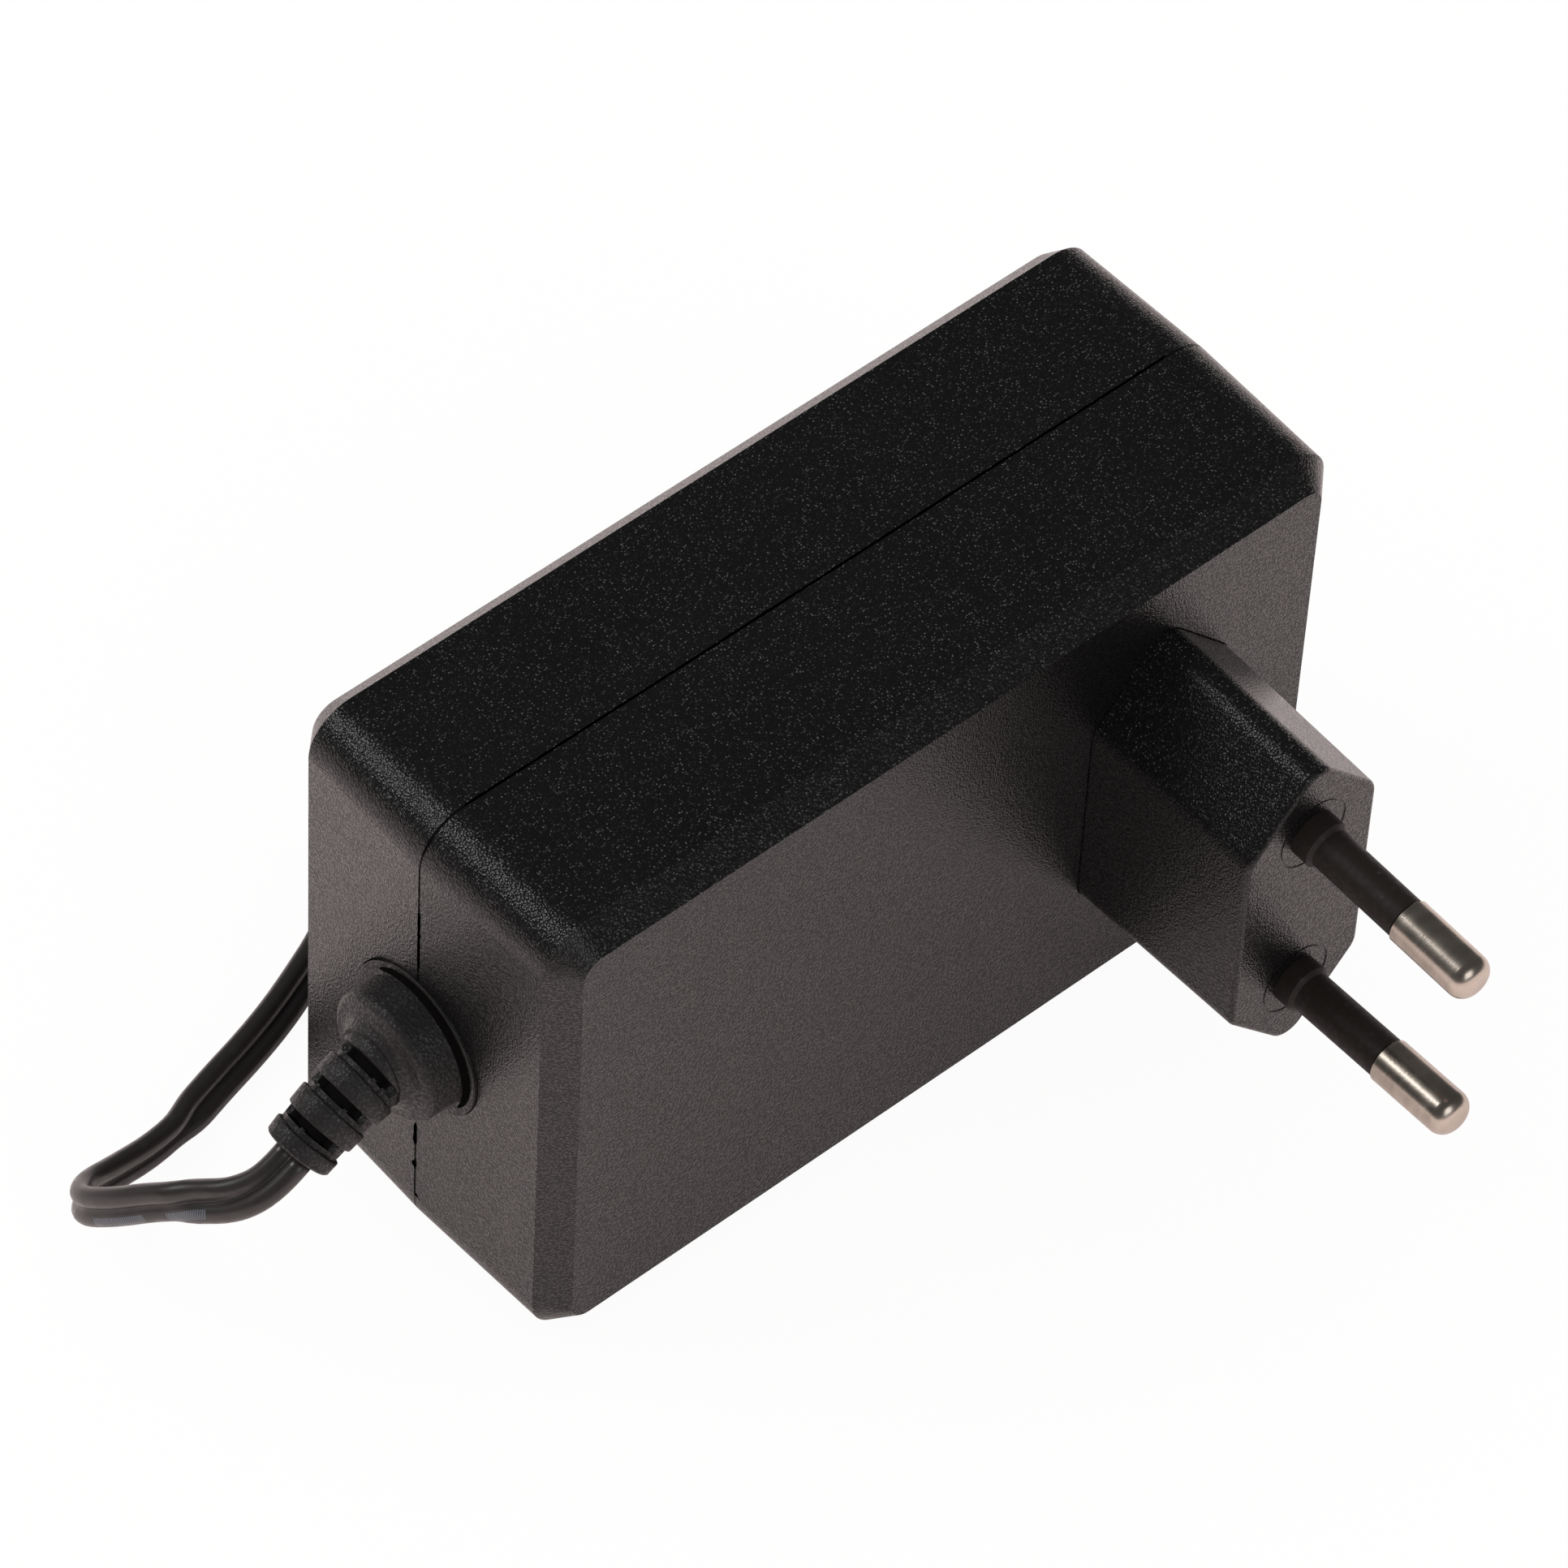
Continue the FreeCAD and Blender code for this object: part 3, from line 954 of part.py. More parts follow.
landing_x = size["mains_landing_x"] * board_length
for side, which in ((1, "upper"), (-1, "lower")):
    frame = pin_frame(side)
    end = frame.multVec(Vector(0, 0, value(f"{BOSS_END} - Sizes.pin_root")))
    landing_z = middle_z + side * size["mains_landing_z"] * board_height
    drop = board_y - end.y
    out = end + frame.Rotation.multVec(Vector(0, 0, -0.15 * drop))
    route = [tuple(end), tuple(out), (end.x + 0.35 * (landing_x - end.x), end.y + 0.32 * drop, end.z + side),
             (end.x + 0.7 * (landing_x - end.x), end.y + 0.47 * drop, end.z),
             (landing_x, end.y + 0.68 * drop, landing_z),
             (landing_x, board_y - 0.15 * drop, landing_z + side * 0.1),
             (landing_x, board_y, landing_z + side * 0.1)]
    keep(tube("mains_wire_" + which, route, size["wire_radius"]), "mains_wire_" + which)
for side, which in ((1, "upper"), (-1, "lower")):
    z = size["relief_z"] + side * size["core_radius"]
    spread = size["output_spread"]
    route = [(relief_back, 0, z), (relief_back + 2.2, 0, z),
             (output_landing - 0.2, 0.27 * board_y, z + side * 0.55 * spread),
             (output_landing, 0.67 * board_y, z + side * spread),
             (output_landing, board_y, z + side * spread)]
    keep(tube("output_wire_" + which, route, size["wire_radius"]), "output_wire_" + which)
doc.recompute()

failed = []
for item in doc.Objects:
    if any(state in ("Invalid", "Error") for state in item.State):
        failed.append(item.Name)
for label, piece in pieces.items():
    if piece.Shape.isNull() or not piece.Shape.isValid():
        failed.append(label)
if failed:
    raise RuntimeError("failed: " + ", ".join(failed))
for label, piece in pieces.items():
    piece.Shape.exportStep(f"parts/{label}.step")
    print(label, len(piece.Shape.Solids), round(piece.Shape.Volume, 2))
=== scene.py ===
from math import cos, pi, radians, sin, sqrt

import bmesh
import bpy
from mathutils import Matrix, Vector, noise


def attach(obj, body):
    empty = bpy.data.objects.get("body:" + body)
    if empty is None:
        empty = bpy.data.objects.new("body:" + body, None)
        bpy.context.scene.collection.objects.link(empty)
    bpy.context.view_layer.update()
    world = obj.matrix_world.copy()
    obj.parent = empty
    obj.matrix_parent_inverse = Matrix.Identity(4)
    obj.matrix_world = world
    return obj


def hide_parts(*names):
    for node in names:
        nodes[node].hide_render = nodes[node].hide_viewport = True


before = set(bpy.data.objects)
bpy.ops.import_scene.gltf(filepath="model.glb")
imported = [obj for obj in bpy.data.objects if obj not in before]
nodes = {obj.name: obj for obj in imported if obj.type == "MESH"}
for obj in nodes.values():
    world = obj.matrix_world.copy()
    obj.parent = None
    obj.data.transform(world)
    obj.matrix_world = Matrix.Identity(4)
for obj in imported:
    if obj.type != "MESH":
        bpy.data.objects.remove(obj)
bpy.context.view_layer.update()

# Power adapter standing on its long narrow side, plug towards -Y, strain relief and cord at -X. Metres.

bpy.context.scene.view_settings.view_transform = "Standard"
MM = 0.001

# Camera: 231.5 mm lens on a 36 mm sensor, square frame.

camera_data = bpy.data.cameras.new("Camera")
camera_data.lens = 231.54
camera_data.sensor_width = 36.0
camera_data.clip_start = 0.05
camera_data.clip_end = 20.0
camera = bpy.data.objects.new("Camera", camera_data)
bpy.context.scene.collection.objects.link(camera)
right = Vector((0.7558, -0.6537, 0.0377)).normalized()
forward = Vector((0.4318, 0.4543, -0.7792)).normalized()
up = right.cross(forward).normalized()
right = forward.cross(up).normalized()
turn = Matrix((right, up, -forward)).transposed().to_4x4()
camera.matrix_world = Matrix.Translation((-0.34872, -0.36373, 0.65123)) @ turn
bpy.context.scene.camera = camera


def new_piece(name, shape, smooth=True):
    """Object of the adapter from a shape that it uses up. It rides on the only body."""
    mesh = bpy.data.meshes.new(name)
    shape.to_mesh(mesh)
    shape.free()
    for polygon in mesh.polygons:
        polygon.use_smooth = smooth
    piece = bpy.data.objects.new(name, mesh)
    bpy.context.scene.collection.objects.link(piece)
    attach(piece, "root")
    return piece


# Twin cord: one smooth line from the strain relief through the tied spare turns to the output plug. Millimetres.

LEAD = [
    (-52.785, 0.0, 20.81), (-55.18, 0.0, 19.0), (-57.5, 1.6, 16.8), (-59.1, 4.6, 14.9), (-60.6, 8.0, 12.6),
    (-62.3, 11.3, 9.8), (-63.0, 14.5, 7.2), (-60.9, 16.8, 5.1), (-57.0, 17.6, 3.4), (-52.7, 18.2, 2.2),
    (-48.6, 19.1, 1.9), (-44.7, 20.3, 1.8), (-40.8, 21.3, 1.8), (-36.9, 22.5, 1.8), (-32.9, 24.1, 1.8),
    (-28.6, 26.3, 1.8), (-24.4, 29.2, 1.8),
]
TAIL = [
    (29.5, 32.0, 10.6), (33.5, 33.0, 12.4), (38.5, 33.8, 12.8), (43.5, 33.6, 12.8), (48.0, 31.9, 13.1),
    (50.9, 28.6, 13.6), (50.8, 24.6, 14.5), (47.6, 21.8, 15.4), (43.5, 21.3, 16.2), (38.5, 21.8, 16.6),
    (33.0, 22.0, 16.6), (28.0, 22.0, 16.6),
]
HANK_MIDDLE = (8.0, 26.4)
END_X, END_RADIUS, WAIST = 20.1, 9.9, 5.6
CORE, LAYERS = 0.9, (1.8, 5.4, 9.0)
TRACKS = (0, 1, 2, 2, 1, 0, 0, 1)
INNER_TRACK = 2
# The tied stretch: distances from the middle, and how far the tie lifts the cord near it.
TIED_PLACES, TIE_REACH, TIE_LIFT = (-13.0, -4.5, 4.5, 13.0), 5, 0.75
# A spline runs inside its control points, so the turns at the ends have theirs a little further out.
OUTSET = 1.062


def hank_edge(x):
    """Half width of the tied cord at a distance from its middle."""
    hollow = (END_X ** 2 + WAIST ** 2 - END_RADIUS ** 2) / (2 * (END_RADIUS - WAIST))
    return WAIST + hollow - sqrt(hollow ** 2 - x ** 2)


def tied(track, height):
    """Control points of the tied stretch on one track, from left to right."""
    inset = CORE + 2 * CORE * track
    return [(x, hank_edge(x) - inset, height + (TIE_LIFT if abs(x) < TIE_REACH else 0)) for x in TIED_PLACES]


def hank_turns():
    """Control points of the spare turns, clockwise from above, from the left end's top to the right end's top."""
    points = []
    for turn, track in enumerate(TRACKS):
        z = LAYERS[turn // 3]
        last = turn + 1 == len(TRACKS)
        next_track = INNER_TRACK if last else TRACKS[turn + 1]
        next_z = LAYERS[2] if last else LAYERS[(turn + 1) // 3]
        loose = 0.25 * sin(2.4 * turn + 1)
        stretch = tied(track, z)
        points += stretch
        radius = OUTSET * (END_RADIUS - CORE - 2 * CORE * track)
        for degrees in (80, 40, 0, -40, -80):
            a = radians(degrees)
            points.append((END_X + loose + radius * cos(a), radius * sin(a), z))
        points += [(x, -y, height) for x, y, height in reversed(stretch)]
        for step, degrees in enumerate((-100, -140, -180, -220, -260)):
            share = step / 4
            radius = OUTSET * (END_RADIUS - CORE - 2 * CORE * (track + (next_track - track) * share))
            a = radians(degrees)
            points.append((-END_X - loose + radius * cos(a), radius * sin(a), z + (next_z - z) * share))
    points += tied(INNER_TRACK, LAYERS[2])
    return [(x + HANK_MIDDLE[0], y + HANK_MIDDLE[1], z) for x, y, z in points]


def smooth_line(name, controls, steps=6):
    """Points along one NURBS spline through its control points, millimetres to metres."""
    data = bpy.data.curves.new(name, "CURVE")
    data.dimensions = "3D"
    data.resolution_u = steps
    spline = data.splines.new("NURBS")
    spline.points.add(len(controls) - 1)
    for point, place in zip(spline.points, controls):
        point.co = (*(MM * c for c in place), 1.0)
    spline.order_u = 3
    spline.use_endpoint_u = True
    curve = bpy.data.objects.new(name, data)
    bpy.context.scene.collection.objects.link(curve)
    bpy.context.view_layer.update()
    line = bpy.data.meshes.new_from_object(curve)
    points = [vertex.co.copy() for vertex in line.vertices]
    bpy.data.objects.remove(curve)
    bpy.data.meshes.remove(line)
    bpy.data.curves.remove(data)
    return points


def tube_along(points, section_at):
    """Tube through points, where section_at gives the ring of offsets at a point.

    Its UV map holds tens of centimetres along it and the share of the way around.
    """
    mesh = bmesh.new()
    uv = mesh.loops.layers.uv.new("cord")
    rings, along = [], 0.0
    lengths = []
    for i, point in enumerate(points):
        tangent = (points[min(i + 1, len(points) - 1)] - points[max(i - 1, 0)]).normalized()
        along += (point - points[i - 1]).length if i else 0
        lengths.append(along)
        rings.append([mesh.verts.new(point + offset) for offset in section_at(i, tangent)])
    count = len(rings[0])
    for i in range(len(rings) - 1):
        for j in range(count):
            k = (j + 1) % count
            face = mesh.faces.new((rings[i][j], rings[i][k], rings[i + 1][k], rings[i + 1][j]))
            for loop, (u, v) in zip(face.loops, ((lengths[i], j), (lengths[i], j + 1),
                                                 (lengths[i + 1], j + 1), (lengths[i + 1], j))):
                loop[uv].uv = (10 * u, v / count)
    mesh.faces.new(reversed(rings[0]))
    mesh.faces.new(rings[-1])
    return mesh


CONTROLS = LEAD + hank_turns() + TAIL
cord_line = smooth_line("cord_line", CONTROLS)
LOBE = [(CORE + CORE * cos(radians(a)), CORE * sin(radians(a))) for a in range(-156, 157, 24)]
SECTION = LOBE + [(-x, -y) for x, y in LOBE]
# Which way the second core lies from the first at control points along the cord.
ACROSS = [(0, (0, 1, 0)), (1, (0, 1, 0)), (2.4, (0.25, 0.75, 0.6)), (3.2, (0, 0.1, 1)), (9, (0, 0, 1)),
          (10, (0, 0.64, 0.77)), (13, (0, 0.64, 0.77)), (16, (0, 0, 1)), (len(CONTROLS) - 11, (0, 0, 1)),
          (len(CONTROLS) - 5, (0.3, 0.8, 0.5)), (len(CONTROLS) - 1, (0, 1, 0))]


def cord_section(i, tangent):
    """Ring of offsets of both cores at a point of the cord."""
    place = i / (len(cord_line) - 1) * (len(CONTROLS) - 1)
    after = next(k for k, (at, _) in enumerate(ACROSS) if at >= place or k == len(ACROSS) - 1)
    (a, va), (b, vb) = ACROSS[max(after - 1, 0)], ACROSS[after]
    share = min(max((place - a) / (b - a), 0), 1) if b > a else 0
    share = share * share * (3 - 2 * share)
    across = Vector(va).lerp(Vector(vb), share)
    across = (across - tangent * across.dot(tangent)).normalized()
    other = tangent.cross(across)
    return [MM * (across * x + other * y) for x, y in SECTION]


cord = new_piece("twin_cord", tube_along(cord_line, cord_section))
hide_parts("lead", "lead_hank", "lead_tail")

# Strain relief: collar on the end wall and a ribbed part that bends down, with slots on both sides. Millimetres and
# degrees, where angles along the bend count from the arc's top and angles round its axis from -Y upwards.

WALL_X, OUTLET_Z = 40.75, 25.5
# Distances from mid-length, with the radius there: disc in the wall, foot, side, rounded edge and cone.
COLLAR_RADIUS, ROUNDING, ROUNDING_X = 5.85, 0.8, 43.65
COLLAR = [(40.3, 7.05), (40.8, 7.05), (40.87, 6.98), (40.87, 6.0), (41.0, 5.88), (41.15, COLLAR_RADIUS)]
COLLAR += [(ROUNDING_X + ROUNDING * sin(radians(a)), COLLAR_RADIUS - ROUNDING * (1 - cos(radians(a))))
           for a in range(0, 91, 15)]
COLLAR += [(44.5, 4.6), (44.62, 4.2), (44.9, 3.75), (45.3, 3.5)]
BEND_X, BEND_Z, BEND_RADIUS, BEND_START, BEND_END = -44.75, -2.35, 29.0, 18.95, 37.0
BEND_MIDDLE_X = BEND_X + BEND_RADIUS * sin(radians(BEND_START))
RIB_RADII = (3.45, 2.96)
SLOT_MIDDLES = (20.93, 26.95, 32.98)
SLOT_HALF = 1.235
EDGE, EDGE_DROP = 0.25, 0.14
# How far to either side of a step its two rings read the radius.
NUDGE = 0.001
# A slot's open stretch round the axis and the ramp at its ends; it lies once on each side.
OPEN_FROM, OPEN_TO, RAMP = 8, 158, 10
SPINE_INSET, GROOVE_TOP, GROOVE_DEPTH = 0.28, 0.3, 1.25
# Beside the groove, from this place along the bend, lies the shallow strip with its webs.
STRIP_FROM, STRIP_TOP, STRIP_DEPTH = 0.35, 0.36, 0.14
SLOT_WEBS = ((28, 50, 122), (48, 116), (80,))
WEB_FROM, WEB_HALF, WEB_FOOT_HALF, WEB_RISE, WEB_FOOT, WEB_FOOT_RISE = 0.05, 7, 5, 0.24, 0.6, 0.15
AROUND = 180
# Faces that come nearer to the axis than this belong to a groove and get painted shade.
DEEP_RADIUS = 2.25
END_EDGE, END_DROP = 0.3, 0.15


def rib_radius(angle, degrees, side):
    """Radius of the ribbed part at an angle along its bend and one round it, on one side of a step there."""
    share = (angle - BEND_START) / (BEND_END - BEND_START)
    surface = RIB_RADII[0] + (RIB_RADII[1] - RIB_RADII[0]) * share
    for middle, webs in zip(SLOT_MIDDLES, SLOT_WEBS):
        place = angle - middle + NUDGE * side
        if abs(place) > SLOT_HALF + EDGE:
            continue
        if abs(place) > SLOT_HALF:
            return surface - EDGE_DROP * ((SLOT_HALF + EDGE - abs(place)) / EDGE) ** 2
        turned_by = degrees % 180
        if not OPEN_FROM <= turned_by <= OPEN_TO:
            return surface - SPINE_INSET
        ends = min((turned_by - OPEN_FROM) / RAMP, (OPEN_TO - turned_by) / RAMP, 1)
        off_web = min(abs(turned_by - web) for web in webs)
        bump = max(0, 1 - (off_web / WEB_HALF) ** 2)
        if place >= STRIP_FROM:
            return surface - STRIP_TOP - STRIP_DEPTH * ends + WEB_RISE * bump
        if place > WEB_FROM and off_web < WEB_FOOT_HALF:
            return surface - WEB_FOOT + WEB_FOOT_RISE * bump
        return surface - GROOVE_TOP - GROOVE_DEPTH * ends
    return surface


def rib_places():
    """Angles along the bend that need a ring, each with its side of a step. The first two lie in the collar."""
    places = [(BEND_START - 2.5, 0), (BEND_START - 1, 0)]
    for middle in SLOT_MIDDLES:
        places += [(middle - SLOT_HALF - EDGE, 0), (middle - SLOT_HALF - EDGE / 2, 0)]
        for step in (-SLOT_HALF, WEB_FROM, STRIP_FROM, SLOT_HALF):
            places += [(middle + step, -1), (middle + step, 1)]
        places += [(middle + SLOT_HALF + EDGE / 2, 0), (middle + SLOT_HALF + EDGE, 0), (middle + 2.6, 0)]
    return [place for place in places if place[0] < BEND_END - END_EDGE] + [(BEND_END - END_EDGE, 0), (BEND_END, 0)]


def add_skin(mesh, stations):
    """Closed skin through rings. A station is a ring's middle, its direction and its radius at an angle."""
    deep = mesh.faces.layers.int["deep"]
    rings = []
    for middle, direction, radius_at in stations:
        upward = Vector((0, 1, 0)).cross(direction)
        ring = []
        for k in range(AROUND):
            degrees = 360 * k / AROUND
            a = radians(degrees)
            outward = Vector((0, -1, 0)) * cos(a) + upward * sin(a)
            ring.append(mesh.verts.new(MM * (middle + radius_at(degrees) * outward)))
        rings.append(ring)
    for (middle, _, _), one, two in zip(stations, rings, rings[1:]):
        for k in range(AROUND):
            m = (k + 1) % AROUND
            face = mesh.faces.new((one[k], two[k], two[m], one[m]))
            nearest = min((vert.co - MM * middle).length for vert in (one[k], one[m]))
            face[deep] = int(nearest < MM * DEEP_RADIUS)
    mesh.faces.new(rings[0])
    mesh.faces.new(reversed(rings[-1]))


def relief_mesh():
    """Collar and ribbed part. The face layer named deep marks the slots' grooves, which get painted shade."""
    mesh = bmesh.new()
    mesh.faces.layers.int.new("deep")
    back = Vector((-1, 0, 0))
    add_skin(mesh, [(Vector((-x, 0, OUTLET_Z)), back, lambda degrees, r=r: r) for x, r in COLLAR])
    stations = []
    for angle, side in rib_places():
        a = radians(angle)
        middle = Vector((BEND_MIDDLE_X - BEND_RADIUS * sin(a), 0, BEND_Z + BEND_RADIUS * cos(a)))
        less = END_DROP if angle == BEND_END else 0
        stations.append((middle, Vector((-cos(a), 0, -sin(a))), lambda degrees, angle=angle, side=side, less=less:
                         rib_radius(angle, degrees, side) - less))
    add_skin(mesh, stations)
    return mesh


relief = new_piece("slotted_relief", relief_mesh())
relief.data.set_sharp_from_angle(angle=radians(38))
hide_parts("strain_relief")

# Thin strips: painted shade at the collar's foot and the recess's rim gap, a painted glint on its lip. Millimetres,
# degrees.

SKIN = 0.03
ARC_STEPS = 48


def thicken(mesh):
    """Closes a thin strip to a solid skin."""
    bmesh.ops.solidify(mesh, geom=mesh.faces[:], thickness=MM * SKIN)
    loose = [vert for vert in mesh.verts if not vert.link_faces]
    bmesh.ops.delete(mesh, geom=loose, context="VERTS")
    bmesh.ops.recalc_face_normals(mesh, faces=mesh.faces[:])


def arc_strip(name, start, end, inner, outer, x, lift=0.0, inner_lift=0.0):
    """Thin ring sector round the cord outlet that narrows to its ends, from one angle to another."""
    mesh = bmesh.new()
    middle = 0.5 * (outer + inner)
    rows = []
    for k in range(ARC_STEPS + 1):
        a = radians(start + (end - start) * k / ARC_STEPS)
        taper = sin(pi * k / ARC_STEPS) ** 0.5
        half = 0.5 * (outer - inner) * taper
        rows.append([mesh.verts.new(MM * Vector((-x - rise, -radius * cos(a), OUTLET_Z + radius * sin(a))))
                     for radius, rise in ((middle - half, inner_lift * taper), (middle, lift * taper),
                                          (middle + half, 0))])
    for one, two in zip(rows, rows[1:]):
        for k in range(2):
            mesh.faces.new((one[k], one[k + 1], two[k + 1], two[k]))
    thicken(mesh)
    return new_piece(name, mesh, smooth=False)


# Dark strips of painted shade at the collar's foot and in the gap at the recess's rim; a pale strip on the recess's lip
# is a painted glint.
arc_strip("collar_shade", 136, -36, 5.88, 6.75, 40.9, 0.1, 0.3)
arc_strip("recess_lip_glint", 124, -20, 7.02, 7.17, 40.85, 0.07)
arc_strip("recess_line", 160, 116, 7.06, 7.17, 40.9)

# Seam between the shells: a thin line of painted shade over the top, round the corner and down the end, with weld
# flash.
# Millimetres.

TOP_Z, CORNER, SEAM_START = 51.0, 4.5, 35.8
TOP_STEP, TOP_STEPS, END_STEP, END_STEPS = 0.7, 104, 0.35, 119
SEAM_LIFT, TOP_HALF, END_HALF = 0.02, 0.1, 0.045
COLLAR_GAP = (18.1, 32.9)
# Flash on the end: upper and lower height, sideways shift, extra width.
FLASH = [(14.3, 11.6, 0.05, 0.3), (9.4, 8.7, 0.1, 0.5), (4.95, 4.3, -0.35, 0.9), (41.0, 34.5, -0.03, 0.2)]


def seam_path():
    """Places along the parting ridge in the XZ plane, each with the way outwards."""
    places = [(SEAM_START - TOP_STEP * k, TOP_Z, 0, 1) for k in range(TOP_STEPS)]
    for degrees in range(0, 91, 10):
        a = radians(degrees)
        places.append((CORNER - WALL_X - CORNER * sin(a), TOP_Z - CORNER + CORNER * cos(a), -sin(a), cos(a)))
    return places + [(-WALL_X, TOP_Z - CORNER - 0.3 - END_STEP * k, -1, 0) for k in range(END_STEPS)]


def seam_mesh():
    """Strip along the seam, with a gap at the strain relief."""
    mesh = bmesh.new()
    row = None
    for x, z, out_x, out_z in seam_path():
        on_end = out_x < -0.9
        if on_end and COLLAR_GAP[0] < z < COLLAR_GAP[1]:
            row = None
            continue
        wander = noise.noise(Vector((x * 0.9, z * 0.9, 3.0)))
        half = (END_HALF if on_end else TOP_HALF) * (1 + 0.5 * wander)
        middle = 0.03 * wander
        for top, bottom, shift, extra in FLASH:
            if on_end and bottom <= z <= top:
                half += 0.5 * extra * (1 + noise.noise(Vector((0, z * 3, 1))))
                middle += shift
        place = Vector((x + SEAM_LIFT * out_x, 0, z + SEAM_LIFT * out_z))
        new_row = [mesh.verts.new(MM * (place + Vector((0, middle + side * half, 0)))) for side in (-1, 1)]
        if row:
            mesh.faces.new((row[0], row[1], new_row[1], new_row[0]))
        row = new_row
    thicken(mesh)
    return mesh


new_piece("seam_line", seam_mesh(), smooth=False)

# Finishes.


def new_material(name):
    """New material, its node tree and its surface shader."""
    material = bpy.data.materials.new(name)
    material.use_nodes = True
    tree = material.node_tree
    return material, tree, tree.nodes["Principled BSDF"]


def add_node(tree, kind, values=None, **settings):
    """New node with its settings and the values of its input sockets."""
    node = tree.nodes.new(kind)
    for name, setting in settings.items():
        setattr(node, name, setting)
    for socket, number in (values or {}).items():
        node.inputs[socket].default_value = number
    return node


def grain_group():
    """Spark-eroded moulding: pebbled height, its lit tops, single facets facing upwards that get a painted glint, slow
    changes.
    """
    group = bpy.data.node_groups.new("Eroded grain", "ShaderNodeTree")
    for name, number in (("Grain Size", 0.0002), ("Glints", 0.8)):
        group.interface.new_socket(name, in_out="INPUT", socket_type="NodeSocketFloat").default_value = number
    for name in ("Height", "Tops", "Glint", "Cloud"):
        group.interface.new_socket(name, in_out="OUTPUT", socket_type="NodeSocketFloat")
    link = group.links.new
    given, out = group.nodes.new("NodeGroupInput"), group.nodes.new("NodeGroupOutput")
    place = group.nodes.new("ShaderNodeTexCoord")
    fine = add_node(group, "ShaderNodeMath", {0: 1.0}, operation="DIVIDE")
    link(given.outputs["Grain Size"], fine.inputs[1])
    pits = add_node(group, "ShaderNodeTexNoise", {"Detail": 1.5, "Roughness": 0.6})
    pebbles = add_node(group, "ShaderNodeTexVoronoi", {"Randomness": 1.0})
    cloud = add_node(group, "ShaderNodeTexNoise", {"Scale": 90.0, "Detail": 3.0})
    for texture in (pits, pebbles, cloud):
        link(place.outputs["Object"], texture.inputs["Vector"])
    link(fine.outputs[0], pits.inputs["Scale"])
    link(fine.outputs[0], pebbles.inputs["Scale"])
    round_tops = add_node(group, "ShaderNodeMapRange", {"From Max": 0.8, "To Min": 1.0, "To Max": 0.0})
    link(pebbles.outputs["Distance"], round_tops.inputs["Value"])
    height = add_node(group, "ShaderNodeMix", {0: 0.55}, data_type="FLOAT")
    link(pits.outputs["Fac"], height.inputs[2])
    link(round_tops.outputs[0], height.inputs[3])
    tops = add_node(group, "ShaderNodeMapRange", {"From Min": 0.3, "From Max": 0.7}, interpolation_type="SMOOTHSTEP")
    link(height.outputs[0], tops.inputs["Value"])
    chance = add_node(group, "ShaderNodeSeparateColor")
    link(pebbles.outputs["Color"], chance.inputs[0])
    lucky = add_node(group, "ShaderNodeMapRange")
    link(given.outputs["Glints"], lucky.inputs["From Min"])
    link(chance.outputs[0], lucky.inputs["Value"])
    bright = add_node(group, "ShaderNodeMath", {1: 3.5}, operation="POWER")
    link(lucky.outputs[0], bright.inputs[0])
    dot = add_node(group, "ShaderNodeMapRange", {"From Min": 0.42, "From Max": 0.15}, interpolation_type="SMOOTHSTEP")
    link(pebbles.outputs["Distance"], dot.inputs["Value"])
    shape = group.nodes.new("ShaderNodeNewGeometry")
    facing = group.nodes.new("ShaderNodeSeparateXYZ")
    link(shape.outputs["Normal"], facing.inputs[0])
    upward = add_node(group, "ShaderNodeMapRange", {"From Min": 0.3, "From Max": 0.85}, interpolation_type="SMOOTHSTEP")
    link(facing.outputs["Z"], upward.inputs["Value"])
    glint = bright
    for factor in (dot, upward):
        product = add_node(group, "ShaderNodeMath", operation="MULTIPLY")
        link(glint.outputs[0], product.inputs[0])
        link(factor.outputs[0], product.inputs[1])
        glint = product
    for source, name in ((height, "Height"), (tops, "Tops"), (glint, "Glint")):
        link(source.outputs[0], out.inputs[name])
    link(cloud.outputs["Fac"], out.inputs["Cloud"])
    return group


GRAIN = grain_group()


